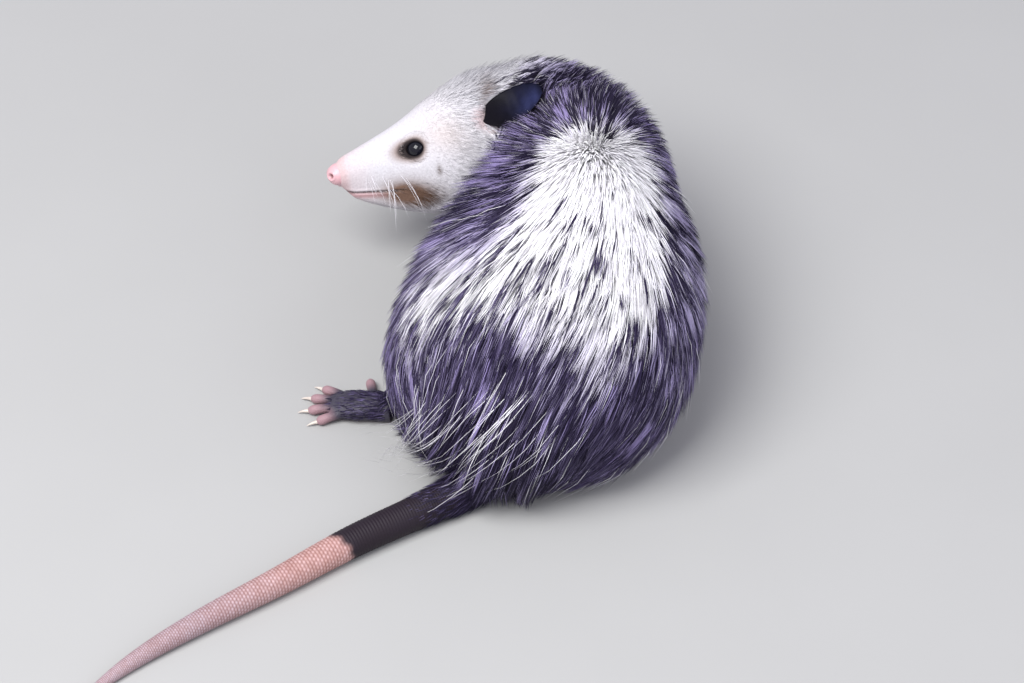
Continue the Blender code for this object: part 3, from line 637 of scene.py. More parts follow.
# The skin sinks round each ball. A lid, longer towards the nose, runs from the skin's own
# surface to a rounded edge that closes on the ball.
spots = corners(skin)
whole = bmesh.new()
whole.from_mesh(skin.data)
surface = BVHTree.FromBMesh(whole)
whole.free()
lids = []
for name, (spot, look, ahead, across) in eye_frames.items():
    turn = math.tau * np.arange(LID_TURNS) / LID_TURNS
    ring = ahead * np.cos(turn)[:, None] + across * np.sin(turn)[:, None]
    nose_end, ear_end = np.maximum(np.cos(turn), 0), np.maximum(-np.cos(turn), 0)
    inner = LID_RADIUS * (1 + 0.26 * nose_end**4 + 0.10 * ear_end**3)
    upper = np.sin(turn) * np.sign(across @ CROWN)
    inner = inner * (1 - 0.06 * np.abs(upper) - 0.08 * np.maximum(upper, 0))
    skin_high = []
    for way in ring:
        start = spot + way * LID_REACH + look * 0.02
        hit = surface.ray_cast(Vector(start), Vector(-look))[0]
        skin_high.append((np.array(hit) - spot) @ look)
    skin_high = np.array(skin_high)
    on_ball = np.sqrt(np.maximum(EYE_RADIUS**2 - inner**2, 0.0013**2))
    grid = []
    for share in np.linspace(0, 1, LID_STEPS):
        span = inner + (LID_REACH - inner) * share
        fall = ramp(share, 0.0, 1.0)
        high = (on_ball + 0.0007) * (1 - fall) + (skin_high - 0.0003) * fall
        high = high + 0.0004 * bump_at(share, 0.16, 0.14) - 0.0009 * ramp(share, 0.07, 0.0)
        grid.append(spot + ring * span[:, None] + look * high[:, None])
    under = spot + ring * (inner + 0.0006)[:, None] + look * (on_ball - 0.0012)[:, None]
    buried = spot + ring * LID_REACH + look * (skin_high - 0.0022)[:, None]
    grid = np.array([buried, *grid[::-1], under])
    faces = []
    for row in range(len(grid)):
        here, after = row * LID_TURNS, (row + 1) % len(grid) * LID_TURNS
        for k in range(LID_TURNS):
            beside = (k + 1) % LID_TURNS
            faces.append((here + k, here + beside, after + beside, after + k))
    mesh = bpy.data.meshes.new(name + "_lid")
    mesh.from_pydata(grid.reshape(-1, 3).tolist(), [], faces)
    lid = bpy.data.objects.new(name + "_lid", mesh)
    bpy.context.scene.collection.objects.link(lid)
    face_outwards(lid)
    lids.append(lid)
for spot, look, ahead, across in eye_frames.values():
    away = spots - spot
    out = away @ look
    span = np.hypot(away @ ahead, away @ across)
    sunk = ramp(span, LID_REACH, SOCKET_RADIUS) * (out > -0.006)
    spots = spots - look * (np.maximum(out + SOCKET_DEPTH, 0) * sunk)[:, None]
skin.data.vertices.foreach_set("co", spots.ravel())


def stain_at(back, up):
    """How brown the fur at the corner of the mouth is."""
    return bump_at(back, 0.0460, 0.0150) * bump_at(up, -0.0140, 0.0080)


def head_colour(back, side, up):
    """Colour of the head's short fur and bare skin, with painted shade in the mouth's crease."""
    tint = np.tile(WHITE * 0.70, (len(back), 1))
    points = in_head(back, side, up)

    def lay(colour_now, share):
        return tint + (np.asarray(colour_now) - tint) * np.clip(share, 0, 1)[:, None]

    pink = 0.22 * ramp(back, 0.032, 0.014) + 0.45 * ramp(back, 0.015, 0.009)
    tint = lay(PINK_SKIN, pink)
    drop = up - mouth_level(back)
    lips = ramp(back, MOUTH_BACK + 0.004, MOUTH_BACK - 0.004)
    tint = lay(LIP_SKIN, lips * bump_at(drop, -0.0022, 0.0022) * 0.75)
    # Painted shade: a dark line along the crease where the lips meet.
    tint = lay(MOUTH_CREASE_SHADE, lips * bump_at(drop, 0, 0.0006))
    tint = lay(BROWN * 0.8, 1.5 * stain_at(back, up))
    from_ear = np.stack((back - 0.099, np.abs(side) - 0.027, up - 0.029), axis=-1)
    tint = lay(EAR_FOOT_SKIN, 0.6 * ramp(np.linalg.norm(from_ear, axis=-1), 0.011, 0.005))
    before_ear = 0.8 * bump_at(back, 0.0985, 0.003) * bump_at(up, 0.0385, 0.0025)
    tint = lay(BROWN * 0.8, before_ear * (side > 0))
    tint = lay(BROW_CREAM, 0.40 * bump_at(back, 0.072, 0.012) * bump_at(up, 0.022, 0.010))
    fleck = bump_at(back, 0.0670, 0.0016) * bump_at(up, 0.0010, 0.0030) * (side > 0)
    tint = lay(BROWN * 0.4, 0.9 * fleck)
    for spot, look, ahead, across in eye_frames.values():
        away = points - spot
        forward = away @ ahead
        near = ramp(np.abs(away @ look), 0.014, 0.010)
        span = np.hypot(np.where(forward > 0, forward / 2.0, forward), away @ across)
        tint = lay(BROWN * 1.1, ramp(span, 0.0106, 0.0050) * 0.75 * near)
        span = np.hypot(np.where(forward > 0, forward / 1.8, forward), away @ across)
        tint = lay(LID_TINT, ramp(span, 0.0077, 0.0050) * near)
    return tint


# The finish of the hide: fur-coloured by its tint, finely grained.
hide_finish = Finish("short_fur", Roughness=0.75, Specular_IOR_Level=0.25)
grain = hide_finish.noise(900.0, 4.0)
shaded = hide_finish.between(grain, 0.3, 0.7) * 0.35
shade = colour(0.55, 0.50, 0.52)
hide_finish.set("Base Color", hide_finish.mix(shaded, hide_finish.tint(), shade, "MULTIPLY"))
hide_finish.bump(grain, 0.5, 0.0006)

# Which ring and angle of the body a corner of the skin is nearest to.
flat_rings = body.points.reshape(-1, 3)


def tree_of(spots):
    """A finder of the nearest of some spots."""
    finder = KDTree(len(spots))
    for index, spot in enumerate(spots):
        finder.insert(spot, index)
    finder.balance()
    return finder


ring_spots = tree_of(flat_rings)
nearest = np.array([ring_spots.find(spot)[1] for spot in spots])
ring, column = np.divmod(nearest, SKIN_SIDES)
place, angle = body_place[ring], 360 * column / SKIN_SIDES
white = np.maximum(whiteness(place, angle), whiteness(place - 0.12, angle))[:, None]
coat_tint = LILAC * 0.25 + (WHITE * 0.9 - LILAC * 0.25) * white
face_tint = head_colour(*head_places(spots))
blend = ramp(place, 1.06, 1.16)[:, None]
blend = blend * ramp(head_places(spots)[0], 0.112, 0.098)[:, None]
tints = coat_tint + (face_tint - coat_tint) * blend
off_body = np.linalg.norm(spots - flat_rings[nearest], axis=1) > 0.004
for spot, look, ahead, across in eye_frames.values():
    off_body &= np.linalg.norm(spots - spot, axis=1) > 0.016
tints[off_body] = DARK
paint(skin, tints)
for lid in lids:
    paint(lid, head_colour(*head_places(corners(lid))))
for obj in (skin, *lids):
    obj.data.materials.clear()
    obj.data.materials.append(hide_finish.material)
with bpy.context.temp_override(active_object=skin, selected_editable_objects=[skin, *lids]):
    bpy.ops.object.join()


# NOSE
# The bare pink pad round the nostrils: moist, finely pebbled skin with a groove down its
# middle. A ball pushed in at the nostrils and along the groove.

NOSE_PAD = (0.0070, 0.0, -0.0022)
NOSE_RADII = (0.0074, 0.0072, 0.0070)
NOSTRIL = (0.0012, 0.0048, -0.0010)
NOSTRIL_DEPTH = 0.0026
NOSTRIL_RADIUS = 0.0017
NOSTRIL_FLATTENING = (1.0, 1.0, 0.85)
RIM_RADIUS = 0.0030
RIM_HEIGHT = 0.00045
GROOVE_DEPTH = 0.0009
NOSE_PINK = np.array((0.72, 0.43, 0.46))
# The colour of painted shade in the nostrils.
NOSTRIL_SHADE = np.array((0.13, 0.03, 0.03))

bm = bmesh.new()
bmesh.ops.create_uvsphere(bm, u_segments=96, v_segments=64, radius=1.0)
mesh = bpy.data.meshes.new("nose_pad")
bm.to_mesh(mesh)
bm.free()
nose = bpy.data.objects.new("nose_pad", mesh)
bpy.context.scene.collection.objects.link(nose)
local = corners(nose) * NOSE_RADII + NOSE_PAD
inward = unit(np.array(NOSE_PAD) - local)
dent = np.zeros(len(local))
for side in (1, -1):
    hole = np.array((NOSTRIL[0], side * NOSTRIL[1], NOSTRIL[2]))
    away = np.linalg.norm((local - hole) / NOSTRIL_FLATTENING, axis=1)
    dent += NOSTRIL_DEPTH * bump_at(away, 0, NOSTRIL_RADIUS)
    dent -= RIM_HEIGHT * bump_at(away, RIM_RADIUS, 0.0009)
groove = bump_at(local[:, 1], 0, 0.0005) * ramp(local[:, 2], 0.002, -0.002) * (local[:, 0] < 0.006)
dent += GROOVE_DEPTH * groove
local = local + inward * dent[:, None]
nose.data.vertices.foreach_set("co", in_head(*local.T).ravel())
nose.data.update()
face_outwards(nose)
# Painted shade: the pad darkens the deeper it is pushed in, to black-red in the nostrils and partly
# along the groove.
hollow_shade = np.clip(dent / 0.0022, 0, 1)[:, None]
paint(nose, NOSE_PINK + (NOSTRIL_SHADE - NOSE_PINK) * hollow_shade)
nose_finish = Finish("moist_nose", Roughness=0.32, Specular_IOR_Level=0.5)
nose_finish.set("Base Color", nose_finish.tint())
nose_finish.bump(nose_finish.cells(1600.0), 0.35, 0.0003)
nose.data.materials.append(nose_finish.material)
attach(nose, "root")
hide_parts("nose")


# EARS
# Thin, round, naked black ears, cupped and satin, with faint folds across them. Each is a
# sheet with two faces, bent to a cup on a narrow foot; the right one is laid flat.

EAR_FOOT = (0.1030, 0.0276, 0.0314)
# Side of the head, the direction that the ear stands in, the one that its cup faces, and how
# far hair keeps off the cup. Directions are to the head's back, outside and crown.
EARS = {
    "ear_left": (1, (0.90, 0.37, 0.24), (-0.57, 0.18, 0.80), 0.05),
    "ear_right": (-1, (0.86, 0.44, -0.20), (-0.15, 0.70, 0.70), 0.010),
}
EAR_LENGTH = 0.0405
EAR_WIDTH = 0.0315
EAR_ROOT = 0.004
EAR_THICKNESS = 0.0012
EAR_CUP = 0.0075
EAR_ROWS = 44
EAR_COLUMNS = 30
EAR_OPENING = np.array((0.0, -0.707, 0.707))
EAR_BLACK = np.array((0.006, 0.005, 0.008))
# The blue of a sheen painted onto the black leather.
EAR_SHEEN = np.array((0.022, 0.028, 0.090))

ear_finish = Finish("ear_leather", Roughness=0.48, Specular_IOR_Level=0.07)
ear_mottle = ear_finish.between(ear_finish.noise(120.0, 4.0), 0.3, 0.75) * 0.6
ear_deep = colour(0.003, 0.003, 0.005)
ear_finish.set("Base Color", ear_finish.mix(ear_mottle, ear_finish.tint(), ear_deep))
ear_finish.bump(ear_finish.noise(700.0, 3.0), 0.35, 0.0004)


def ear_half(v, least=0.0):
    """Half the width of an ear, from its foot at v = 0 to its round tip at v = 1."""
    return EAR_WIDTH / 2 * np.sqrt(np.maximum(least, 1 - (1.9 * v - 0.9) ** 2))


def cup_share(v):
    """How deep the cup is: shallow at the foot."""
    return 0.35 + 0.65 * ramp(v, 0.0, 0.45)


ear_frames = []
for name, (side, stands, faces_to, bare_reach) in EARS.items():
    flip = np.array((1.0, side, 1.0))
    along = unit(np.array(HEAD_TURN @ Vector(flip * stands)))
    facing = np.array(HEAD_TURN @ Vector(flip * faces_to))
    facing = unit(facing - along * (facing @ along))
    across = np.cross(along, facing)
    foot = in_head(EAR_FOOT[0], side * EAR_FOOT[1], EAR_FOOT[2]).ravel()
    opening = unit(facing * 0.2 + EAR_OPENING) if side > 0 else facing
    ear_frames.append((foot, along, across, facing, opening, bare_reach))
    v, u = np.meshgrid(
        np.linspace(0, 1, EAR_ROWS + 1), np.linspace(-1, 1, EAR_COLUMNS + 1), indexing="ij"
    )
    half = np.maximum(ear_half(v), np.where(v < 0.5, 0.0045, 0.0006))
    cup = EAR_CUP * (half / EAR_WIDTH * 2) * (1 - u * u) * cup_share(v)
    folds = 0.00035 * np.sin(34 * v + 3 * u * u) * (1 - u * u) * ramp(v, 0.15, 0.4)
    rim = 0.0007 * ramp(np.abs(u), 0.86, 1.0)
    edge = np.sqrt(np.maximum(0.02, (1 - u**8) * (1 - v**16)))
    sheets = []
    for face in (1, -1):
        lift = face * EAR_THICKNESS / 2 * edge * (1.9 - 0.9 * np.minimum(1, v * 3))
        high = lift - cup + 0.004 * v * v + folds + rim
        sheets.append(
            foot
            + along * (EAR_LENGTH * v - EAR_ROOT)[..., None]
            + across * (half * u)[..., None]
            + facing * high[..., None]
        )
    wide = EAR_COLUMNS + 1
    shift = (EAR_ROWS + 1) * wide
    faces = []
    for i in range(EAR_ROWS):
        for k in range(EAR_COLUMNS):
            a = i * wide + k
            faces.append((a, a + 1, a + 1 + wide, a + wide))
            faces.append((a + shift, a + wide + shift, a + 1 + wide + shift, a + 1 + shift))
        first, last = i * wide, i * wide + EAR_COLUMNS
        for a, b in ((first, first + wide), (last + wide, last)):
            faces.append((a, b, b + shift, a + shift))
    for k in range(EAR_COLUMNS):
        top = EAR_ROWS * wide + k
        faces.append((k + 1, k, k + shift, k + 1 + shift))
        faces.append((top, top + 1, top + 1 + shift, top + shift))
    mesh = bpy.data.meshes.new(name + "_leather")
    mesh.from_pydata(np.concatenate([s.reshape(-1, 3) for s in sheets]).tolist(), [], faces)
    ear = bpy.data.objects.new(name + "_leather", mesh)
    bpy.context.scene.collection.objects.link(ear)
    face_outwards(ear)
    # Painted sheen: a blue highlight laid into the colour towards the tip on one side of the cup,
    # fainter on the back face.
    painted_sheen = bump_at(v, 0.74, 0.30) * bump_at(u, -0.35, 0.60)
    painted_sheen = np.concatenate((painted_sheen.ravel(), painted_sheen.ravel() * 0.2))[:, None]
    paint(ear, EAR_BLACK + EAR_SHEEN * painted_sheen)
    ear.data.materials.append(ear_finish.material)
    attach(ear, "root")
    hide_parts(name)

# The skin of head and neck gives way under each cup.
spots = corners(skin)
for foot, along, across, facing, opening, reach in ear_frames:
    away = spots - foot
    v, u, high = (away @ along + EAR_ROOT) / EAR_LENGTH, away @ across, away @ facing
    half = ear_half(v)
    inside = ramp(np.abs(u), half + 0.004, half + 0.001) * ramp(v, -0.12, 0.0) * (v < 1.05)
    bottom = -EAR_CUP * (half / EAR_WIDTH * 2) * cup_share(v) - 0.0030
    over = np.maximum(high - bottom, 0) * (high < 0.016)
    spots = spots - facing * (over * inside)[:, None]
skin.data.vertices.foreach_set("co", spots.ravel())
skin.data.update()


# FEET
# Naked feet with a broad sole and spread toes, dark grey with pink toe tips. Sole and toes
# are tubes fused to one surface and smoothed.

FEET = {
    "foot_front_left": ((-0.0140, 0.0985), 4.0, 1),
    "foot_front_right": ((0.0778, 0.1155), 8.0, -1),
    "foot_hind_left": ((-0.0715, -0.0631), 82.0, 1),
    "foot_hind_right": ((0.0841, -0.0415), -8.0, -1),
}
HAND_SOLE = (
    # ahead   half width  half height
    (0.000, 0.0082, 0.0085),
    (0.006, 0.0092, 0.0075),
    (0.013, 0.0100, 0.0065),
    (0.020, 0.0085, 0.0048),
)
FOOT_SOLE = (
    (0.000, 0.0085, 0.0085),
    (0.010, 0.0092, 0.0080),
    (0.024, 0.0105, 0.0070),
    (0.036, 0.0090, 0.0050),
)
HAND_TOES = (
    # turn   out    length
    (-52.0, 0.008, 0.016),
    (-24.0, 0.012, 0.017),
    (0.0, 0.013, 0.018),
    (24.0, 0.012, 0.017),
    (52.0, 0.008, 0.015),
)
FOOT_TOES = (
    (-24.0, 0.030, 0.015),
    (-8.0, 0.031, 0.017),
    (8.0, 0.031, 0.017),
    (24.0, 0.029, 0.015),
)
FOOT_THUMB = (-72.0, 0.012, 0.019)
TOE_RADIUS = 0.0030
TOE_TINT = np.array((0.38, 0.23, 0.25))
FOOT_TINT = np.array((0.045, 0.040, 0.060))

foot_finish = Finish("foot_skin", Roughness=0.55, Specular_IOR_Level=0.4)
foot_finish.set("Base Color", foot_finish.tint())
foot_finish.bump(foot_finish.cells(900.0), 0.5, 0.0004)


def on_foot(start, heading, ahead, z):
    """The place some way ahead of a start, at height z."""
    turn = math.radians(heading)
    return np.array((start[0] - math.sin(turn) * ahead, start[1] + math.cos(turn) * ahead, z))


claw_roots = []
foot_hides = {}
for name, (start, heading, hand) in FEET.items():
    hind = "hind" in name
    sole_rows, toe_rows = (FOOT_SOLE, FOOT_TOES) if hind else (HAND_SOLE, HAND_TOES)
    ahead = np.linspace(0, sole_rows[-1][0], 12)
    sole = stations(sole_rows, ahead)
    path = [on_foot(start, heading, a, high * 0.82) for a, (_, high) in zip(ahead, sole)]
    foot_hides[name] = Hide(tube_grid(path, sole, 24))
    shells = [mesh_from_grid("sole", foot_hides[name].points)]
    tips = []
    toes = [(turn, out * 0.45, out * 0.62, long, True) for turn, out, long in toe_rows]
    if hind:
        toes.append((FOOT_THUMB[0], FOOT_THUMB[1] * 0.8, 0.007, FOOT_THUMB[2], False))
    for turn, spread, leave, long, clawed in toes:
        root = on_foot(start, heading, spread, 0.0)
        turned = heading + hand * turn
        rows = (
            # share, ahead, height, thickness
            (0.0, leave - 0.006, 0.0052, 1.0),
            (0.4, leave + long * 0.45, 0.0046, 0.95),
            (0.8, leave + long * 0.85, 0.0032, 1.02),
            (1.0, leave + long, 0.0026, 0.62),
        )
        values = stations(rows, np.linspace(0, 1, 12))
        path = [on_foot(root, turned, a, z) for a, z, _ in values]
        shells.append(mesh_from_grid("toe", tube_grid(path, values[:, 2] * TOE_RADIUS, 16)))
        tips.append(path[-1])
        if clawed:
            claw_roots.append((path[-1], turned))
    foot = shells[0]
    with bpy.context.temp_override(active_object=foot, selected_editable_objects=shells):
        bpy.ops.object.join()
    foot.name = foot.data.name = name + "_skin"
    fuse = foot.modifiers.new("fuse", "REMESH")
    fuse.mode = "VOXEL"
    fuse.voxel_size = 0.0007
    even = foot.modifiers.new("even", "SMOOTH")
    even.factor = 0.5
    even.iterations = 5
    bake_modifiers(foot)
    foot.data.shade_smooth()
    points = corners(foot)
    points[:, 2] = np.maximum(points[:, 2], 0.0)
    foot.data.vertices.foreach_set("co", points.ravel())
    near = np.min([np.linalg.norm(points - tip, axis=1) for tip in tips], axis=0)
    pink = ramp(near, 0.014, 0.005)[:, None]
    under = ramp(points[:, 2], 0.0022, 0.0008)[:, None]
    paint(foot, FOOT_TINT + (TOE_TINT - FOOT_TINT) * np.maximum(pink * 0.9, under * 0.7))
    foot.data.materials.clear()
    foot.data.materials.append(foot_finish.material)
    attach(foot, "root")
    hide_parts(name)


# CLAWS
# Eighteen slender, slightly hooked claws of pale horn, one on each toe but the thumbs. One
# claw is swept along a bent line and set on every toe tip.

CLAW_LENGTH = 0.0065
CLAW_RADIUS = 0.0012
CLAW_HOOK = -0.0016

claw_finish = Finish("claw_horn", Roughness=0.35, Specular_IOR_Level=0.5)
claw_grain = claw_finish.noise(500.0, 2.0)
horn_brown, horn_pale = colour(0.50, 0.42, 0.36), colour(0.80, 0.74, 0.66)
claw_finish.set("Base Color", claw_finish.mix(claw_grain, horn_brown, horn_pale))

tree = bpy.data.node_groups.new("claws_on_toes", "GeometryNodeTree")
tree.interface.new_socket("Toes", in_out="INPUT", socket_type="NodeSocketGeometry")
length_socket = tree.interface.new_socket("Length", in_out="INPUT", socket_type="NodeSocketFloat")
radius_socket = tree.interface.new_socket("Radius", in_out="INPUT", socket_type="NodeSocketFloat")
hook_socket = tree.interface.new_socket("Hook", in_out="INPUT", socket_type="NodeSocketFloat")
tree.interface.new_socket("Claws", in_out="OUTPUT", socket_type="NodeSocketGeometry")


def tree_node(kind, inputs, output=0, **settings):
    """Adds a node to the claws' tree, and returns the output that is asked for, if any."""
    node = tree.nodes.new(kind)
    for name, value in settings.items():
        setattr(node, name, value)
    for key, value in inputs.items():
        if isinstance(value, bpy.types.NodeSocket):
            tree.links.new(value, node.inputs[key])
        else:
            node.inputs[key].default_value = value
    return node.outputs[output] if node.outputs else None


def tree_sum(operation, first, second):
    return tree_node("ShaderNodeMath", {0: first, 1: second}, operation=operation)


group_in = tree.nodes.new("NodeGroupInput")
line = tree_node("GeometryNodeCurvePrimitiveLine", {"End": (0.0, 1.0, 0.0)})
line = tree_node("GeometryNodeResampleCurve", {"Curve": line, "Count": 9})
share = tree_node("GeometryNodeSplineParameter", {}, "Factor")
ahead = tree_sum("MULTIPLY", share, group_in.outputs["Length"])
fall = tree_sum("MULTIPLY", tree_sum("POWER", share, 2.0), group_in.outputs["Hook"])
spot = tree_node("ShaderNodeCombineXYZ", {"Y": ahead, "Z": fall})
line = tree_node("GeometryNodeSetPosition", {"Geometry": line, "Position": spot})
taper = tree_sum("POWER", tree_sum("SUBTRACT", 1.03, share), 0.7)
radius = tree_sum("MULTIPLY", taper, group_in.outputs["Radius"])
profile = tree_node("GeometryNodeCurvePrimitiveCircle", {"Resolution": 10, "Radius": 1.0})
claw = tree_node(
    "GeometryNodeCurveToMesh",
    {"Curve": line, "Profile Curve": profile, "Scale": radius, "Fill Caps": True},
)
heading = tree_node(
    "GeometryNodeInputNamedAttribute", {"Name": "heading"}, data_type="FLOAT_VECTOR"
)
turn = tree_node("FunctionNodeEulerToRotation", {"Euler": heading})
claws = tree_node(
    "GeometryNodeInstanceOnPoints",
    {"Points": group_in.outputs["Toes"], "Instance": claw, "Rotation": turn},
)
claws = tree_node("GeometryNodeRealizeInstances", {"Geometry": claws})
claws = tree_node(
    "GeometryNodeSetMaterial", {"Geometry": claws, "Material": claw_finish.material}
)
tree_node("NodeGroupOutput", {"Claws": claws})

mesh = bpy.data.meshes.new("claws")
mesh.from_pydata([tuple(root) for root, _ in claw_roots], [], [])
turns = mesh.attributes.new("heading", "FLOAT_VECTOR", "POINT")
headings = [(0, 0, math.radians(turned)) for _, turned in claw_roots]
turns.data.foreach_set("vector", np.array(headings).ravel())
claws = bpy.data.objects.new("claws", mesh)
bpy.context.scene.collection.objects.link(claws)
grow = claws.modifiers.new("claws", "NODES")
grow.node_group = tree
grow[length_socket.identifier] = CLAW_LENGTH
grow[radius_socket.identifier] = CLAW_RADIUS
grow[hook_socket.identifier] = CLAW_HOOK
bake_modifiers(claws)
face_outwards(claws)
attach(claws, "root")
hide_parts(*[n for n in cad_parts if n.startswith("claw")])


# TAIL
# A long naked tail laid on the floor: round, tapered, ringed with small scales, black over
# its first third and pinkish beyond. Lofted along its midline, with each ring of scales
# raised a little.

TAIL = (
    # x       y       radius
    (0.000, -0.112, 0.0122),
    (-0.022, -0.128, 0.0109),
    (-0.052, -0.147, 0.0099),
    (-0.093, -0.172, 0.0091),
    (-0.135, -0.202, 0.0080),
    (-0.175, -0.229, 0.0067),
    (-0.206, -0.252, 0.0050),
    (-0.228, -0.272, 0.0031),
    (-0.243, -0.290, 0.0014),
)
TAIL_SIDES = 40
TAIL_RINGS = 1100
SCALE_RINGS = 210
ROOT_RISE = 0.018
RIDGE_HEIGHT = 0.026
BEAD_HEIGHT = 0.014
BLACK_END = 0.393
TAIL_BLACK = np.array((0.017, 0.011, 0.018))
TAIL_PINK = np.array((0.67, 0.45, 0.44))
TAIL_LILAC = np.array((0.56, 0.465, 0.53))
# How much painted shade darkens the pale skin in the grooves between scales.
GROOVE_SHADE = np.array((0.52, 0.64, 0.68))

share = np.linspace(0, 1, TAIL_RINGS)
rows = [(i / (len(TAIL) - 1), *row) for i, row in enumerate(TAIL)]
x, y, radius = stations(rows, share).T
rise = ROOT_RISE * np.maximum(0, 1 - share / 0.2) ** 2
middle = np.stack((x, y, radius * 0.93 + rise), axis=-1)
along = unit(np.gradient(middle, axis=0) * (1, 1, 0))
side = np.cross(along, (0.0, 0.0, 1.0))
angle = math.tau * np.arange(TAIL_SIDES) / TAIL_SIDES
ridge = np.abs(np.sin(math.pi * SCALE_RINGS * share))[:, None]
scale_turn = np.floor(SCALE_RINGS * share)[:, None] % 2
bead = np.abs(np.sin(angle[None, :] * 10 + scale_turn * math.pi / 2))
size = radius[:, None] * (1 + RIDGE_HEIGHT * ridge + BEAD_HEIGHT * bead * ridge)
tail_points = (
    middle[:, None]
    + side[:, None] * (size * np.cos(angle))[..., None]
    + np.array((0.0, 0.0, 1.0)) * (size * np.sin(angle))[..., None]
)
tail_points[..., 2] = np.maximum(tail_points[..., 2], 0.0)
tail = mesh_from_grid("tail_skin", tail_points)
tail_hide = Hide(tail_points[::8])
edge = BLACK_END + 0.008 * np.cos(angle) + 0.002 * np.sin(7 * angle)
pale = ramp(share[:, None] - edge[None, :], -0.006, 0.008)
speck = chance.uniform(0, 1, (SCALE_RINGS + 1, TAIL_SIDES))
speck = speck[np.floor(SCALE_RINGS * share).astype(int)]
far = ramp(share, 0.42, 0.66)[:, None, None]
light = TAIL_PINK * (1 - far) + TAIL_LILAC * far
light = light * (0.80 + 0.20 * speck)[..., None]
# Painted shade: the pale skin is darker and browner in the grooves between the scales and their
# beads.
groove = 1 - ridge * (0.35 + 0.65 * bead)
light = light * (1 - GROOVE_SHADE * groove[..., None])
light = light * np.where(speck[..., None] > 0.5, (1.0, 1.0, 1.0), (1.0, 0.95, 0.92))
tints = (TAIL_BLACK + (light - TAIL_BLACK) * pale[..., None]).reshape(-1, 3)
paint(tail, np.vstack((tints, tints[0], tints[-1])))
tail_finish = Finish("ringed_tail", Roughness=0.6, Specular_IOR_Level=0.25)
blotch = tail_finish.between(tail_finish.noise(60.0), 0.35, 0.7) * 0.5
rosy = colour(0.80, 0.66, 0.62)
tail_finish.set("Base Color", tail_finish.mix(blotch, tail_finish.tint(), rosy, "MULTIPLY"))
tail_finish.bump(tail_finish.noise(1100.0, 3.0), 0.4, 0.0003)
tail.data.materials.append(tail_finish.material)
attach(tail, "root")
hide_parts("tail_base", "tail_middle", "tail_tip")


# COAT
# Long guard hair over dense wool on body and neck, with long white strands on the rump and
# black streaks on the white of the back. Every hair is a thin, closed, tapered blade, rooted
# in the skin, combed towards the rump and drawn towards its tuft at the tip.

coat_finish = Finish("hair", Roughness=0.6, Specular_IOR_Level=0.2)
coat_finish.set("Base Color", coat_finish.tint())
# How deep under the skin a hair starts.
ROOT_DEPTH = 0.0012
# The lowest that a hair comes to the floor.
HAIR_FLOOR = 0.0004
# How far a blade is shaded as the hide under it.
SOFTNESS = 0.75
# How much of the bake's map a blade takes up, to each side.
PATCH = 0.003


def comb(hide, i, k, length, start_lift, end_lift, swirl, steps, towards, sweep, bend, wind):
    """Paths of hairs from their roots: along the hide, turned by swirl, standing off it.

    By the share bend they lie along sweep instead, and wind pulls at their tips.
    """
    spot = hide.at(hide.points, i, k) - unit(hide.at(hide.normal, i, k)) * ROOT_DEPTH
    path, ways, marks = [spot], [], [(i, k)]
    for step in range(steps):
        share = (step + 0.35) / steps
        lift = start_lift + (end_lift - start_lift) * share**0.8
        along = hide.at(hide.along, i, k) * towards
        round_it = hide.at(hide.round, i, k)
        normal = unit(hide.at(hide.normal, i, k))
        level = along * np.cos(swirl)[:, None] + round_it * np.sin(swirl)[:, None]
        swept = sweep - normal * (normal * sweep).sum(-1, keepdims=True)
        level = unit(level * (1 - bend)[:, None] + swept * bend[:, None])
        way = level * np.cos(lift)[:, None] + normal * np.sin(lift)[:, None]
        way = unit(way + wind * share)
        spot = spot + way * (length / steps)[:, None]
        path.append(spot)
        ways.append((way, normal))
        flat = (length / steps) * np.cos(lift)
        ahead = (level * along).sum(1) * towards * flat / hide.at(hide.step_along, i, k)
        k = k + (level * round_it).sum(1) * flat / hide.at(hide.step_round, i, k)
        i = i + ahead
        marks.append((i, k))
    return np.stack(path, axis=1), ways, np.array(marks)


def clear_of_bare_skin(paths, margin):
    """Which hairs keep off the ears' cups and the eyes."""
    keep = np.ones(len(paths), bool)
    margin = np.reshape(margin, (-1, 1))
    between = [paths[:, :-1] * (1 - s) + paths[:, 1:] * s for s in (0.0, 0.33, 0.67, 1.0)]
    paths = np.concatenate(between, axis=1)
    for foot, along, across, facing, opening, reach in ear_frames:
        away = paths - foot
        above = away @ facing / (facing @ opening)
        under = away - opening * above[..., None]
        v, u = (under @ along + EAR_ROOT) / EAR_LENGTH, under @ across
        half = ear_half(v, 0.0001) + margin
        sheet = -EAR_CUP * half / EAR_WIDTH * 2 * np.maximum(0, 1 - (u / half) ** 2) - 0.0009 - margin
        before = (v > 0.02) & (v < 1.03) & (np.abs(u) < half) & (above > sheet) & (above < reach)
        keep &= ~before.any(1)
    for spot, look, ahead, across in eye_frames.values():
        away = paths - spot
        span = np.hypot(away @ ahead / 1.1, away @ across)
        keep &= ~((span < 0.0062) & (away @ look > 0)).any(1)
    return keep


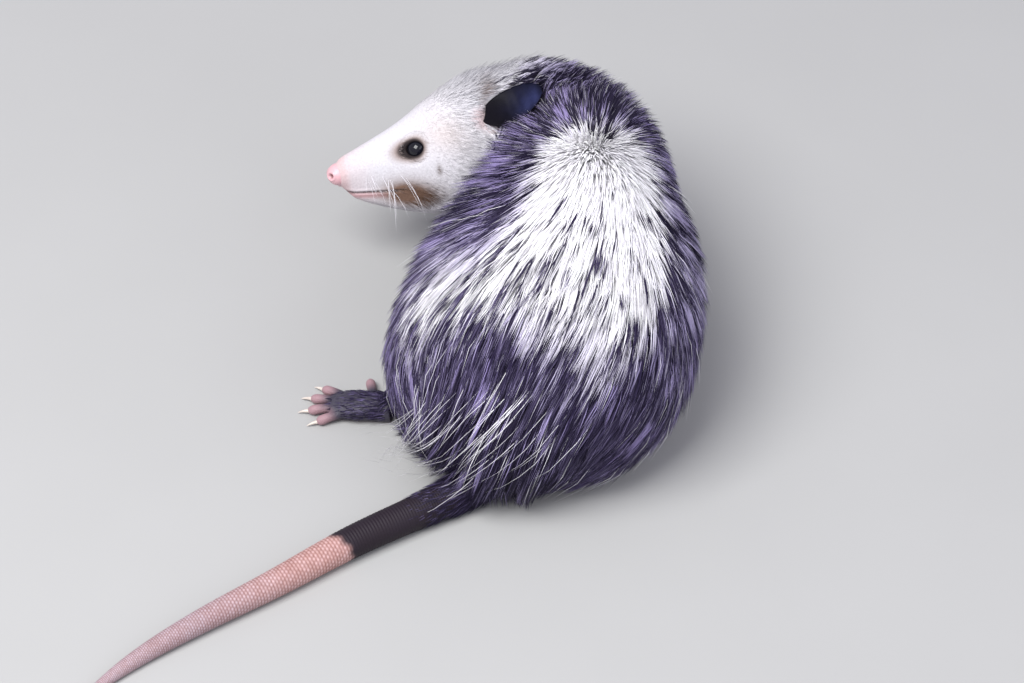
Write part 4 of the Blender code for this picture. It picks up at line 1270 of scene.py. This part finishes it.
def blades(name, paths, ways, width, tints, roots):
    """A piece of coat: one closed three-sided blade along every path."""
    count, steps = paths.shape[0], paths.shape[1] - 1
    profile = np.interp(np.arange(steps) / steps, (0, 0.33, 0.67, 1), (0.8, 1.0, 0.65, 0.2))
    roll = chance.normal(0, 0.5, count)
    rings, soft = [], []
    for step in range(steps):
        way, normal = ways[step]
        side = unit(np.cross(normal, way))
        out = np.cross(way, side)
        turned = side * np.cos(roll)[:, None] + out * np.sin(roll)[:, None]
        lift = np.cross(way, turned)
        half = (width * profile[step] / 2)[:, None]
        centre = paths[:, step]
        rings.append(
            np.stack((centre - turned * half, centre + turned * half, centre + lift * half), axis=1)
        )
        outward = np.stack((-turned - lift * 0.6, turned - lift * 0.6, lift), axis=1)
        soft.append(unit(outward * (1 - SOFTNESS) + normal[:, None] * SOFTNESS))
    points = np.concatenate([*rings, paths[:, -1:, :]], axis=1)
    soft = np.concatenate([*soft, unit(ways[-1][0] + ways[-1][1])[:, None]], axis=1)
    points[..., 2] = np.maximum(points[..., 2], HAIR_FLOOR)
    each = points.shape[1]
    faces = [(0, 2, 1)]
    for step in range(steps - 1):
        for a, b in ((0, 1), (1, 2), (2, 0)):
            a, b = step * 3 + a, step * 3 + b
            faces += [(a, b, b + 3), (a, b + 3, a + 3)]
    top = (steps - 1) * 3
    faces += [(top, top + 1, each - 1), (top + 1, top + 2, each - 1), (top + 2, top, each - 1)]
    faces = np.array(faces)
    index = (np.arange(count)[:, None, None] * each + faces[None]).reshape(-1)
    mesh = bpy.data.meshes.new(name)
    mesh.vertices.add(count * each)
    mesh.vertices.foreach_set("co", points.astype(np.float32).ravel())
    mesh.loops.add(len(index))
    mesh.loops.foreach_set("vertex_index", index.astype(np.int32))
    total = count * len(faces)
    mesh.polygons.add(total)
    mesh.polygons.foreach_set("loop_start", np.arange(total, dtype=np.int32) * 3)
    mesh.update(calc_edges=True)
    obj = bpy.data.objects.new(name, mesh)
    bpy.context.scene.collection.objects.link(obj)
    mesh.shade_smooth()
    mesh.normals_split_custom_set_from_vertices(soft.reshape(-1, 3).astype(np.float32))
    shades = [np.repeat(tints[:, s : s + 1], 3, axis=1) for s in range(steps)]
    shades = np.concatenate((*shades, tints[:, steps : steps + 1]), axis=1)
    paint(obj, shades.reshape(-1, 3))
    rise = np.tile(np.append(np.linspace(0, 1, steps + 1)[:steps].repeat(3), 1.0), (count, 1))
    across = np.tile(np.array([0.0, 1.0, 0.5] * steps + [0.5]), (count, 1))
    u = roots[:, :1] * (1 - PATCH) + across * PATCH
    v = roots[:, 1:] * (1 - PATCH) + rise * PATCH
    layer = mesh.uv_layers.new(name="OFBake")
    flat = np.stack((u, v), axis=-1).reshape(-1, 2)[index]
    layer.data.foreach_set("uv", flat.astype(np.float32).ravel())
    mesh.materials.append(coat_finish.material)
    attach(obj, "root")
    return obj


def gather(paths, tuft_paths, draw_in, reach):
    """Draws each path towards that of the tuft it belongs to, most at the tips."""
    tufts = tree_of(tuft_paths[:, 0])
    own = np.array([tufts.find(spot)[1] for spot in paths[:, 0]])
    steps, last = paths.shape[1], tuft_paths.shape[1] - 1
    gap = paths[:, 0] - tuft_paths[own, 0]
    moved = paths.copy()
    for step in range(1, steps):
        place = reach * last * step / (steps - 1)
        low = min(int(place), last - 1)
        centre = tuft_paths[own, low] * (low + 1 - place) + tuft_paths[own, low + 1] * (place - low)
        share = (draw_in * (step / (steps - 1)) ** 0.8)[:, None]
        moved[:, step] = paths[:, step] + (centre + gap * 0.2 - paths[:, step]) * share
    return moved, own


# By place along the body: length and width of the hair in millimetres, and how steeply it
# stands off the skin, in degrees, at its root and at its tip.
PLACES = (-0.06, 0.0, 0.2, 0.35, 0.5, 0.6, 0.7, 0.8, 0.9, 1.0, 1.12, 1.25, 1.5, 1.8, 2.0)
LENGTHS = (52, 52, 50, 46, 39, 34, 30, 28, 26, 21, 15, 9.5, 6.0, 4.0, 2.4)
WIDTHS = (0.66, 0.66, 0.64, 0.62, 0.60, 0.58, 0.56, 0.54, 0.50, 0.46, 0.40, 0.36, 0.32, 0.28, 0.24)
ROOT_LIFTS = (26, 32, 40, 48, 58, 64, 66, 62, 54, 44, 34, 26, 18, 12, 10)
TIP_LIFTS = (2, 6, 12, 20, 36, 44, 46, 40, 30, 22, 16, 11, 7, 4, 3)
# How far the hair of the rump sweeps to the left, by the angle round the body.
SWEEP_LEFT = ((-60, 30, 90, 130, 170, 240), (0.10, 0.22, 0.42, 0.66, 1.15, 1.30))
STRAND_STEPS = 5


def swirl_of(place, angle):
    """How far the hair turns from the line of the body, in radians; positive to the left."""
    left = ramp(angle, 88, 135) * ramp(angle, 275, 235)
    right = ramp(angle, 84, 35) + ramp(angle, 300, 330)
    shoulder = bump_at(place, 0.58, 0.16)
    turn = left * (26 + 34 * shoulder + 24 * bump_at(place, 0.95, 0.12))
    turn = turn - right * (18 + 26 * shoulder)
    return np.radians(turn)


def body_numbers(i, k):
    """Place along and angle round the body, from rings and sides of its grid."""
    place = np.interp(i, np.arange(len(body_place)), body_place)
    return place, np.mod(360 * k / SKIN_SIDES, 360)


def body_paths(i, k, scale, lift_scale, steps):
    """Paths of body hairs, and the places they lie over."""
    place, angle = body_numbers(i, k)
    length = np.interp(place, PLACES, LENGTHS) * 0.001 * scale
    # Shorter on the belly and on the lowest of the left rump.
    length = length * (1 - 0.55 * ramp(np.abs(angle - 270), 60, 20))
    length = length * (1 - 0.15 * ramp(place, 0.16, 0.04) * ramp(angle, 158, 188))
    # Flatter down the flanks and over the right shoulder.
    low = ramp(np.abs(angle - 90), 35, 80)
    lift_scale = lift_scale * (1 - 0.42 * low * ramp(place, 1.0, 0.9))
    shoulder = bump_at(place, 0.70, 0.19) * ramp(angle, 80, 45) * ramp(angle, -1, 0)
    lift_scale = lift_scale * (1 - 0.50 * shoulder)
    length = length * (1 - 0.16 * shoulder)
    # Bristling on the crown; a whorl between the shoulders, flat behind and upright before.
    crown = bump_at(place, 1.30, 0.14) * ramp(np.abs(angle - 78), 40, 18)
    lift_scale = lift_scale * (1 + 0.9 * crown)
    whorl = bump_at(place, 0.52, 0.11) * ramp(np.abs(angle - 88), 55, 20)
    lift_scale = lift_scale * (1 - 0.12 * whiteness(place, angle) * bump_at(place, 0.52, 0.14))
    lift_scale = lift_scale * (1 - 0.42 * whorl)
    length = length * (1 - 0.15 * whorl)
    upright = bump_at(place, 0.76, 0.15) * ramp(np.abs(angle - 88), 60, 28)
    lift_scale = lift_scale * (1 + 0.52 * upright)
    length = length * (1 + 0.4 * crown)
    start = np.radians(np.interp(place, PLACES, ROOT_LIFTS)) * lift_scale
    end = np.radians(np.interp(place, PLACES, TIP_LIFTS)) * lift_scale
    swirl = swirl_of(place, angle) + chance.normal(0, 0.10, len(i))
    # On the rump the hair sweeps down, back and to the left; long strands also blow aside.
    strand = steps >= STRAND_STEPS
    hang = 0.15 * ramp(place, 1.0, 0.8) + 0.25 * ramp(place, 0.25, 0.0)
    bend = ramp(place, 0.20, 0.02)
    round_to = np.where(angle > 270, angle - 360, angle)
    leftward = np.interp(round_to, *SWEEP_LEFT)
    leftward = leftward + 0.25 * strand
    level = np.ones(len(i))
    sweep = unit(np.stack((-leftward, -0.60 * level, -0.62 * level), axis=-1))
    curl = bend * (0.12 + 0.30 * ramp(round_to, 60, 170)) + 0.50 * bend * strand
    wind = np.stack((-curl, 0.0 * level, -hang * (not strand)), axis=-1)
    roots = body.at(body.points, i, k)
    for foot, *_ in ear_frames:
        short = ramp(np.linalg.norm(roots - foot, axis=1), 0.020, 0.009)
        length = length * (1 - 0.55 * short)
        start = start * (1 - 0.3 * short)
    paths, ways, marks = comb(body, i, k, length, start, end, swirl, steps, -1.0, sweep, bend, wind)
    places, angles = body_numbers(marks[:, 0], marks[:, 1])
    return paths, ways, places.T, angles.T


TUFTS = 6500
GUARD_HAIRS = 60000
WOOL_HAIRS = 15000
WHITE_STRANDS = 58
BLACK_STREAKS = 105
# Hair is thin on the belly and under the tail, and dense on the crest over the shoulders.
density = np.interp(body_place, (-0.06, 0.0, 0.6, 1.0, 1.08, 1.16), (1.2, 1.1, 1.0, 1.1, 0.9, 0.0))
round_angle = 360 * np.arange(SKIN_SIDES) / SKIN_SIDES
density = density[:, None] * np.where(np.abs(round_angle - 270) < 35, 0.25, 1.0)[None, :]
beneath = ramp(np.abs(round_angle - 282), 58, 44)[None, :] * ramp(body_place, 0.10, 0.05)[:, None]
crest = bump_at(body_place, 0.60, 0.09)[:, None] * ramp(np.abs(round_angle - 88), 45, 22)[None, :]
density = density * (1 - beneath) * (1 + 1.2 * crest)
tuft_i, tuft_k = body.scatter(TUFTS, density)
tuft_paths, _, tuft_places, tuft_angles = body_paths(
    tuft_i, tuft_k, chance.uniform(0.9, 1.1, TUFTS), chance.uniform(0.85, 1.15, TUFTS), 3
)
tuft_white = whiteness(tuft_places[:, 2:].mean(1), tuft_angles[:, 2:].mean(1))
rump = ramp(tuft_places[:, 3], 0.12, 0.0)
streaked = 0.71 + 0.12 * ramp(tuft_places[:, 2], 0.34, 0.50)
# Tufts that follow one another down the coat mostly share a shade, which makes long streaks.
STREAKS = 2400
STREAK_WIDTH = 2.2
STREAK_LENGTH = 0.14
STREAK_SHARE = 0.75
turned = np.interp(tuft_angles[:, 2], (35, 84, 88, 135), (-60, 0, 0, 115))
stream = tuft_angles[:, 2] + turned * tuft_places[:, 2]


def streak_spots(turn, place):
    """Points that lie near one another where hair belongs to one streak."""
    return np.stack((turn / STREAK_WIDTH, place / STREAK_LENGTH, 0 * place), axis=-1)


streaks = tree_of(streak_spots(*chance.uniform((-60, -0.1), (480, 1.3), (STREAKS, 2)).T))
streak = [streaks.find(spot)[1] for spot in streak_spots(stream, tuft_places[:, 2])]
lot = chance.uniform(0, 1, STREAKS)[streak]
lot = np.where(chance.uniform(0, 1, TUFTS) < STREAK_SHARE, lot, chance.uniform(0, 1, TUFTS))
tuft_dark = lot < 0.84 + 0.09 * rump - streaked * tuft_white
tuft_tone = chance.normal(0, 1, TUFTS)


def tone(first, second, share):
    """Colours mixed from a first to a second one, hair by hair."""
    return first + (second - first) * np.asarray(share)[:, None]


PLAIN, WHITE_HAIR, PALE_TIP, BLACK_HAIR = range(4)


def coat_tints(places, angles, own, kind):
    """Colours from root to tip, by the markings, the tuft and the kind of hair."""
    count, stops = places.shape
    white = whiteness(places[:, -2:].mean(1), angles[:, -2:].mean(1))
    grey = greyness(places[:, 1], angles[:, 1])
    lot = chance.uniform(0, 1, count)
    forward = 0.25 + 0.75 * ramp(places[:, 1], 0.04, 0.30)
    pale = tone(LILAC * 0.75, WHITE, np.clip(white * 1.35 + lot * 0.08, 0, 1))
    deep = tone(DARK, LILAC * 0.36, np.clip(grey * lot + 0.15 * tuft_tone[own] * grey, 0, 1))
    # Painted shade deep in the coat: the roots are darker, down to a third of the hair's colour where
    # the coat is dark.
    rooted = pale * (0.30 + 0.70 * white)[:, None]
    dark_hair = np.where(tuft_dark[own], lot < 0.93, lot < 0.03 * (1 - white))
    shade = np.clip(1 + 0.06 * tuft_tone[own] + chance.normal(0, 0.05, count), 0.6, 1.2)[:, None]
    tints = []
    for stop in range(stops):
        share = stop / (stops - 1)
        # Painted shade: pale hair is a little darker near its root.
        fair = pale * (0.86 + 0.14 * ramp(share, 0, 0.5))
        tipped = tone(rooted, deep, np.full(count, ramp(share, 0.05, 0.38)))
        clear = tone(rooted, WHITE, np.full(count, ramp(share, 0.1, 0.5)))
        ended = tone(LILAC, WHITE, lot * forward) * (0.45 + 0.55 * forward)[:, None]
        ended = tone(tipped, ended, np.full(count, ramp(share, 0.62, 0.98)))
        here = np.where(dark_hair[:, None], tipped, fair)
        here = np.where((kind == WHITE_HAIR)[:, None], clear, here)
        here = np.where(((kind == PALE_TIP) & tuft_dark[own])[:, None], ended, here)
        black = tone(rooted, DARK * 1.5, np.full(count, ramp(share, 0.05, 0.30)))
        here = np.where((kind == BLACK_HAIR)[:, None], black, here)
        tints.append(np.clip(here * shade, 0, 1))
    return np.stack(tints, axis=1)


def lay_coat(names, count, spread, shares, length, lift, width, steps, draw):
    """Places, combs and colours a layer of hair, in pieces from rump to head.

    The shares are those of white, pale-tipped and black hair; the rest is plain.
    """
    i, k = body.scatter(count, spread)
    order = np.argsort(i)
    i, k = i[order], k[order]
    lot = chance.uniform(0, 1, count)
    kind = (np.digitize(lot, np.cumsum(shares)) + WHITE_HAIR) % (BLACK_HAIR + 1)
    fine = kind == WHITE_HAIR
    paths, ways, places, angles = body_paths(
        i,
        k,
        length * chance.uniform(0.75, 1.1, count) * (1 + 0.2 * fine),
        lift * chance.uniform(0.85, 1.15, count) * (1 + 0.08 * fine),
        steps,
    )
    loose = bump_at(places[:, 0], 0.60, 0.13) * ramp(np.abs(angles[:, 0] - 88), 50, 25)
    paths, own = gather(paths, tuft_paths, draw * (1 - 0.6 * fine) * (1 - 0.75 * loose), length)
    tints = coat_tints(places, angles, own, kind)
    width = np.interp(places[:, 0], PLACES, WIDTHS) * 0.001 * width
    width = width * chance.uniform(0.8, 1.25, count) * (1 - 0.35 * fine)
    width = width * (1 + 0.35 * whiteness(places[:, 1], angles[:, 1]) * ~fine)
    keep = clear_of_bare_skin(paths, width)
    i, width, tints, paths = i[keep], width[keep], tints[keep], paths[keep]
    angles = angles[keep]
    ways = [(way[keep], normal[keep]) for way, normal in ways]
    cuts = np.linspace(0, len(i), len(names) + 1).astype(int)
    for name, low, high in zip(names, cuts[:-1], cuts[1:]):
        part = slice(low, high)
        v = (i[part] - i[low]) / (i[high - 1] - i[low])
        roots = np.stack((angles[part, 0] / 360, v), axis=-1)
        own_ways = [(way[part], normal[part]) for way, normal in ways]
        piece = blades(name, paths[part], own_ways, width[part], tints[part], roots)
        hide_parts("torso", "neck")


lay_coat(
    ["coat_rump", "coat_loins", "coat_flanks", "coat_back", "coat_shoulders", "coat_nape"],
    GUARD_HAIRS,
    density,
    shares=(0.006, 0.15, 0.0),
    length=1.0,
    lift=1.0,
    width=1.0,
    steps=3,
    draw=0.66,
)
lay_coat(
    ["wool_rear", "wool_front"],
    WOOL_HAIRS,
    density,
    shares=(0.0, 0.0, 0.0),
    length=0.60,
    lift=1.1,
    width=3.0,
    steps=2,
    draw=0.3,
)
on_rump = np.interp(body_place, (-0.06, 0.0, 0.10, 0.24), (1.0, 1.5, 0.6, 0.0))[:, None]
lay_coat(
    ["white_strands"],
    WHITE_STRANDS,
    on_rump * (ramp(round_angle, 20, 80) * ramp(round_angle, 190, 130))[None, :],
    shares=(1.0, 0.0, 0.0),
    length=1.40,
    lift=0.9,
    width=0.78,
    steps=7,
    draw=0.03,
)
on_back = np.interp(body_place, (0.06, 0.16, 0.38, 0.54), (0.0, 1.0, 1.0, 0.0))[:, None]
lay_coat(
    ["black_streaks"],
    BLACK_STREAKS,
    on_back * ramp(np.abs(round_angle - 84), 50, 30)[None, :],
    shares=(0.0, 0.0, 1.0),
    length=1.25,
    lift=1.02,
    width=2.0,
    steps=4,
    draw=0.25,
)


# HEAD FUR
# Short, dense white fur from the nose over the cheeks to the nape, longest on the crown and
# at the corner of the mouth. Blades rooted in the skin, as on the body; the nose pad, the
# lips, the eyes and the cups of the ears stay bare.

HEAD_HAIRS = 27000
HEAD_DENSITY = ((0.98, 1.06, 1.9, 1.955, 1.97), (0.0, 1.0, 1.3, 1.1, 0.0))
EYE_AND_EAR_MARGIN = 0.0004

head_density = np.interp(body_place, *HEAD_DENSITY)[:, None] * np.ones((1, SKIN_SIDES))
i, k = body.scatter(HEAD_HAIRS, head_density)
order = np.argsort(i)
i, k = i[order], k[order]
place, angle = body_numbers(i, k)
back, side, up = head_places(body.at(body.points, i, k))
stain = stain_at(back, up)
size = chance.uniform(0.75, 1.2, HEAD_HAIRS) * (1 + 1.3 * stain)
paths, ways, places, angles = body_paths(i, k, size, chance.uniform(0.8, 1.3, HEAD_HAIRS), 2)
back, side, up = head_places(paths[:, 0])
drop = up - mouth_level(back)
lips = (back < MOUTH_BACK - 0.001) & (drop < 0.0010) & (drop > -0.0042)
keep = clear_of_bare_skin(paths, EYE_AND_EAR_MARGIN) & ~lips
tint = head_colour(back, side, up)
tint = tint * (1 + chance.normal(0, 0.05, HEAD_HAIRS))[:, None]
tips = tint.copy()
crown = ramp(place, 1.42, 1.22) * ramp(np.abs(angle - 88), 60, 30)
streak = chance.uniform(0, 1, HEAD_HAIRS) < 0.60 * crown
tips[streak] = DARK * 1.5
spiky = (chance.uniform(0, 1, HEAD_HAIRS) < 0.5) & (stain > 0.25)
tips[spiky] = BROWN * 0.35
throat = (ramp(np.abs(angle - 245), 70, 35) * ramp(place, 1.5, 1.2))[:, None]
tips = tips + (BROWN * 1.2 - tips) * throat * (chance.uniform(0, 1, HEAD_HAIRS) < 0.6)[:, None]
# Painted shade: the roots are darker than the fur over them.
tints = np.clip(np.stack((tint * 0.82, tint, tips), axis=1), 0, 1)
width = np.interp(place, PLACES, WIDTHS) * 0.001 * chance.uniform(0.8, 1.2, HEAD_HAIRS)
halves = np.split(np.arange(HEAD_HAIRS), 2)
for name, part in zip(("fur_cheeks", "fur_muzzle"), halves):
    part = part[keep[part]]
    v = (i[part] - i[part[0]]) / (i[part[-1]] - i[part[0]])
    roots = np.stack((angle[part] / 360, v), axis=-1)
    own_ways = [(way[part], normal[part]) for way, normal in ways]
    piece = blades(name, paths[part], own_ways, width[part], tints[part], roots)
    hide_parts("head")


# LEG FUR
# Short black fur down the legs, over the backs of the feet up to the bare toes, and round
# the root of the tail. Sleeves of small blades, rooted in the tubes under the skin.

LEG_HAIRS = 1500
FOOT_HAIRS = 700
TAIL_HAIRS = 2600
SHORT_FUR_WIDTH = 0.00055


def short_fur(name, hide, count, weight, length, replaced):
    """A sleeve of short dark fur that lies along a leg, a foot or the root of the tail."""
    i, k = hide.scatter(count, weight)
    share = i / len(hide.points)
    length = np.interp(share, (0, 1), length) * chance.uniform(0.8, 1.2, count)
    lift = np.radians(24 - 8 * share)
    swirl = chance.normal(0, 0.15, count)
    unbent, calm = np.zeros(count), np.zeros((count, 3))
    paths, ways, _ = comb(
        hide, i, k, length, lift, lift * 0.3, swirl, 2, 1.0, CROWN, unbent, calm
    )
    tip = tone(DARK, LILAC * 0.35, chance.uniform(0, 1, count) ** 4)
    # Painted shade: the roots are a little darker than the tips.
    root = np.tile(DARK * 0.8, (count, 1))
    tints = np.stack((root, tip, tip), axis=1)
    width = SHORT_FUR_WIDTH * chance.uniform(0.8, 1.25, count)
    roots = np.stack((np.mod(k / hide.points.shape[1], 1), np.clip(share, 0, 1)), axis=-1)
    piece = blades(name, paths, ways, width, tints, roots)
    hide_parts(replaced)


for name, hide in leg_hides.items():
    rows = len(hide.points)
    weight = np.interp(np.arange(rows), (0, rows * 0.25, rows * 0.3, rows), (0, 0, 1, 1.2))
    short_fur(name + "_fur", hide, LEG_HAIRS, weight[:, None], (0.015, 0.009), name)
for name, hide in foot_hides.items():
    rows, sides = hide.points.shape[:2]
    upper = np.sin(math.tau * np.arange(sides) / sides) > -0.15
    weight = np.interp(np.arange(rows), (0, rows * 0.6, rows * 0.95), (1, 0.8, 0))
    weight = weight[:, None] * upper
    leg = name.replace("foot", "leg")
    short_fur(name + "_fur", hide, FOOT_HAIRS, weight, (0.009, 0.005), leg)
rows = len(tail_hide.points)
weight = np.interp(np.arange(rows), (0, rows * 0.12, rows * 0.28), (1, 1, 0))[:, None]
weight = weight * np.ones((1, TAIL_SIDES))
short_fur("tail_root_fur", tail_hide, TAIL_HAIRS, weight, (0.020, -0.030), "torso")


# WHISKERS
# Stiff white bristles on both sides of the upper lip, longest at the back. Each is a thin
# tapered blade that droops.

WHISKERS = 18
WHISKER_STEPS = 3
WHISKER_FRONT = 0.017
WHISKER_BACK = 0.043
DOWN = np.array((0.0, 0.0, -1.0))

for side in (1, -1):
    back = chance.uniform(WHISKER_FRONT, WHISKER_BACK, WHISKERS)
    up = chance.uniform(-0.0095, 0.0, WHISKERS)
    beside = in_head(back, side * 0.03, up)
    spot = np.array([ring_spots.find(place)[0] for place in beside])
    length = np.interp(back, (WHISKER_FRONT, WHISKER_BACK), (0.016, 0.034))
    length = length * chance.uniform(0.5, 1.2, WHISKERS)
    rearward = -FORWARD * chance.uniform(-0.15, 0.45, WHISKERS)[:, None]
    way = unit(LEFT * side * 0.80 + rearward - CROWN * 0.45)
    path, ways = [spot], []
    for step in range(WHISKER_STEPS):
        way = unit(way + DOWN * 0.30 * step)
        spot = spot + way * (length / WHISKER_STEPS)[:, None]
        path.append(spot)
        ways.append((way, np.tile(CROWN, (WHISKERS, 1))))
    paths = np.stack(path, axis=1)
    tints = np.tile(WHITE, (WHISKERS, WHISKER_STEPS + 1, 1))
    width = chance.uniform(0.00015, 0.00024, WHISKERS)
    flat = np.stack((back / 0.06, (up + 0.02) / 0.04), axis=-1)
    piece = blades("whiskers_left" if side > 0 else "whiskers_right", paths, ways, width, tints, flat)
    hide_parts("head")


# STUDIO
# A pale plain floor, soft light from above and the left, and the camera, which looks down
# on the animal's back from behind at half a right angle.

FLOOR_REACH = 6
AIM = (0, 0, 0.08)
CAMERA_RISE = math.radians(45)
CAMERA_DISTANCE = 2.2
CAMERA_LENS = 126.8
CAMERA_FRAME = 36
SKY = (0.86, 0.85, 0.99, 1.0)
SKY_STRENGTH = 0.62

floor_finish = Finish("pale_floor", Roughness=0.9, Specular_IOR_Level=0.2)
floor_cloud = floor_finish.noise(6.0)
floor_grey, floor_pale = colour(0.39, 0.39, 0.38), colour(0.42, 0.42, 0.41)
floor_finish.set("Base Color", floor_finish.mix(floor_cloud, floor_grey, floor_pale))
mesh = bpy.data.meshes.new("floor")
edges = ((-1, -1), (1, -1), (1, 1), (-1, 1))
edges = [(FLOOR_REACH * x, FLOOR_REACH * y, 0) for x, y in edges]
mesh.from_pydata(edges, [], [(0, 1, 2, 3)])
floor = bpy.data.objects.new("floor", mesh)
bpy.context.scene.collection.objects.link(floor)
mesh.materials.append(floor_finish.material)
floor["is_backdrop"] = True


def soft_light(name, where, size, energy, tint=(1.0, 1.0, 1.0)):
    """A square lamp that shines on the animal."""
    light = bpy.data.lights.new(name, "AREA")
    light.size = size
    light.energy = energy
    light.color = tint
    lamp = bpy.data.objects.new(name, light)
    lamp.location = where
    lamp.rotation_mode = "QUATERNION"
    lamp.rotation_quaternion = (Vector(AIM) - Vector(where)).to_track_quat("-Z", "Y")
    bpy.context.scene.collection.objects.link(lamp)


soft_light("key", (-0.75, -0.75, 1.9), size=1.3, energy=58)
soft_light("fill", (1.5, -0.9, 1.2), size=1.8, energy=15, tint=(0.92, 0.94, 1.0))
world = bpy.data.worlds.new("studio")
bpy.context.scene.world = world
world.use_nodes = True
world.node_tree.nodes["Background"].inputs["Color"].default_value = SKY
world.node_tree.nodes["Background"].inputs["Strength"].default_value = SKY_STRENGTH

camera = bpy.data.objects.new("camera", bpy.data.cameras.new("camera"))
bpy.context.scene.collection.objects.link(camera)
camera.data.lens = CAMERA_LENS
camera.data.sensor_width = CAMERA_FRAME
camera.data.clip_start = 0.05
back = Vector((0.0, -math.cos(CAMERA_RISE), math.sin(CAMERA_RISE)))
camera.location = back * CAMERA_DISTANCE
camera.rotation_mode = "QUATERNION"
camera.rotation_quaternion = (-back).to_track_quat("-Z", "Y")
bpy.context.scene.camera = camera
bpy.context.scene.view_settings.view_transform = "Standard"

low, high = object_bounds()
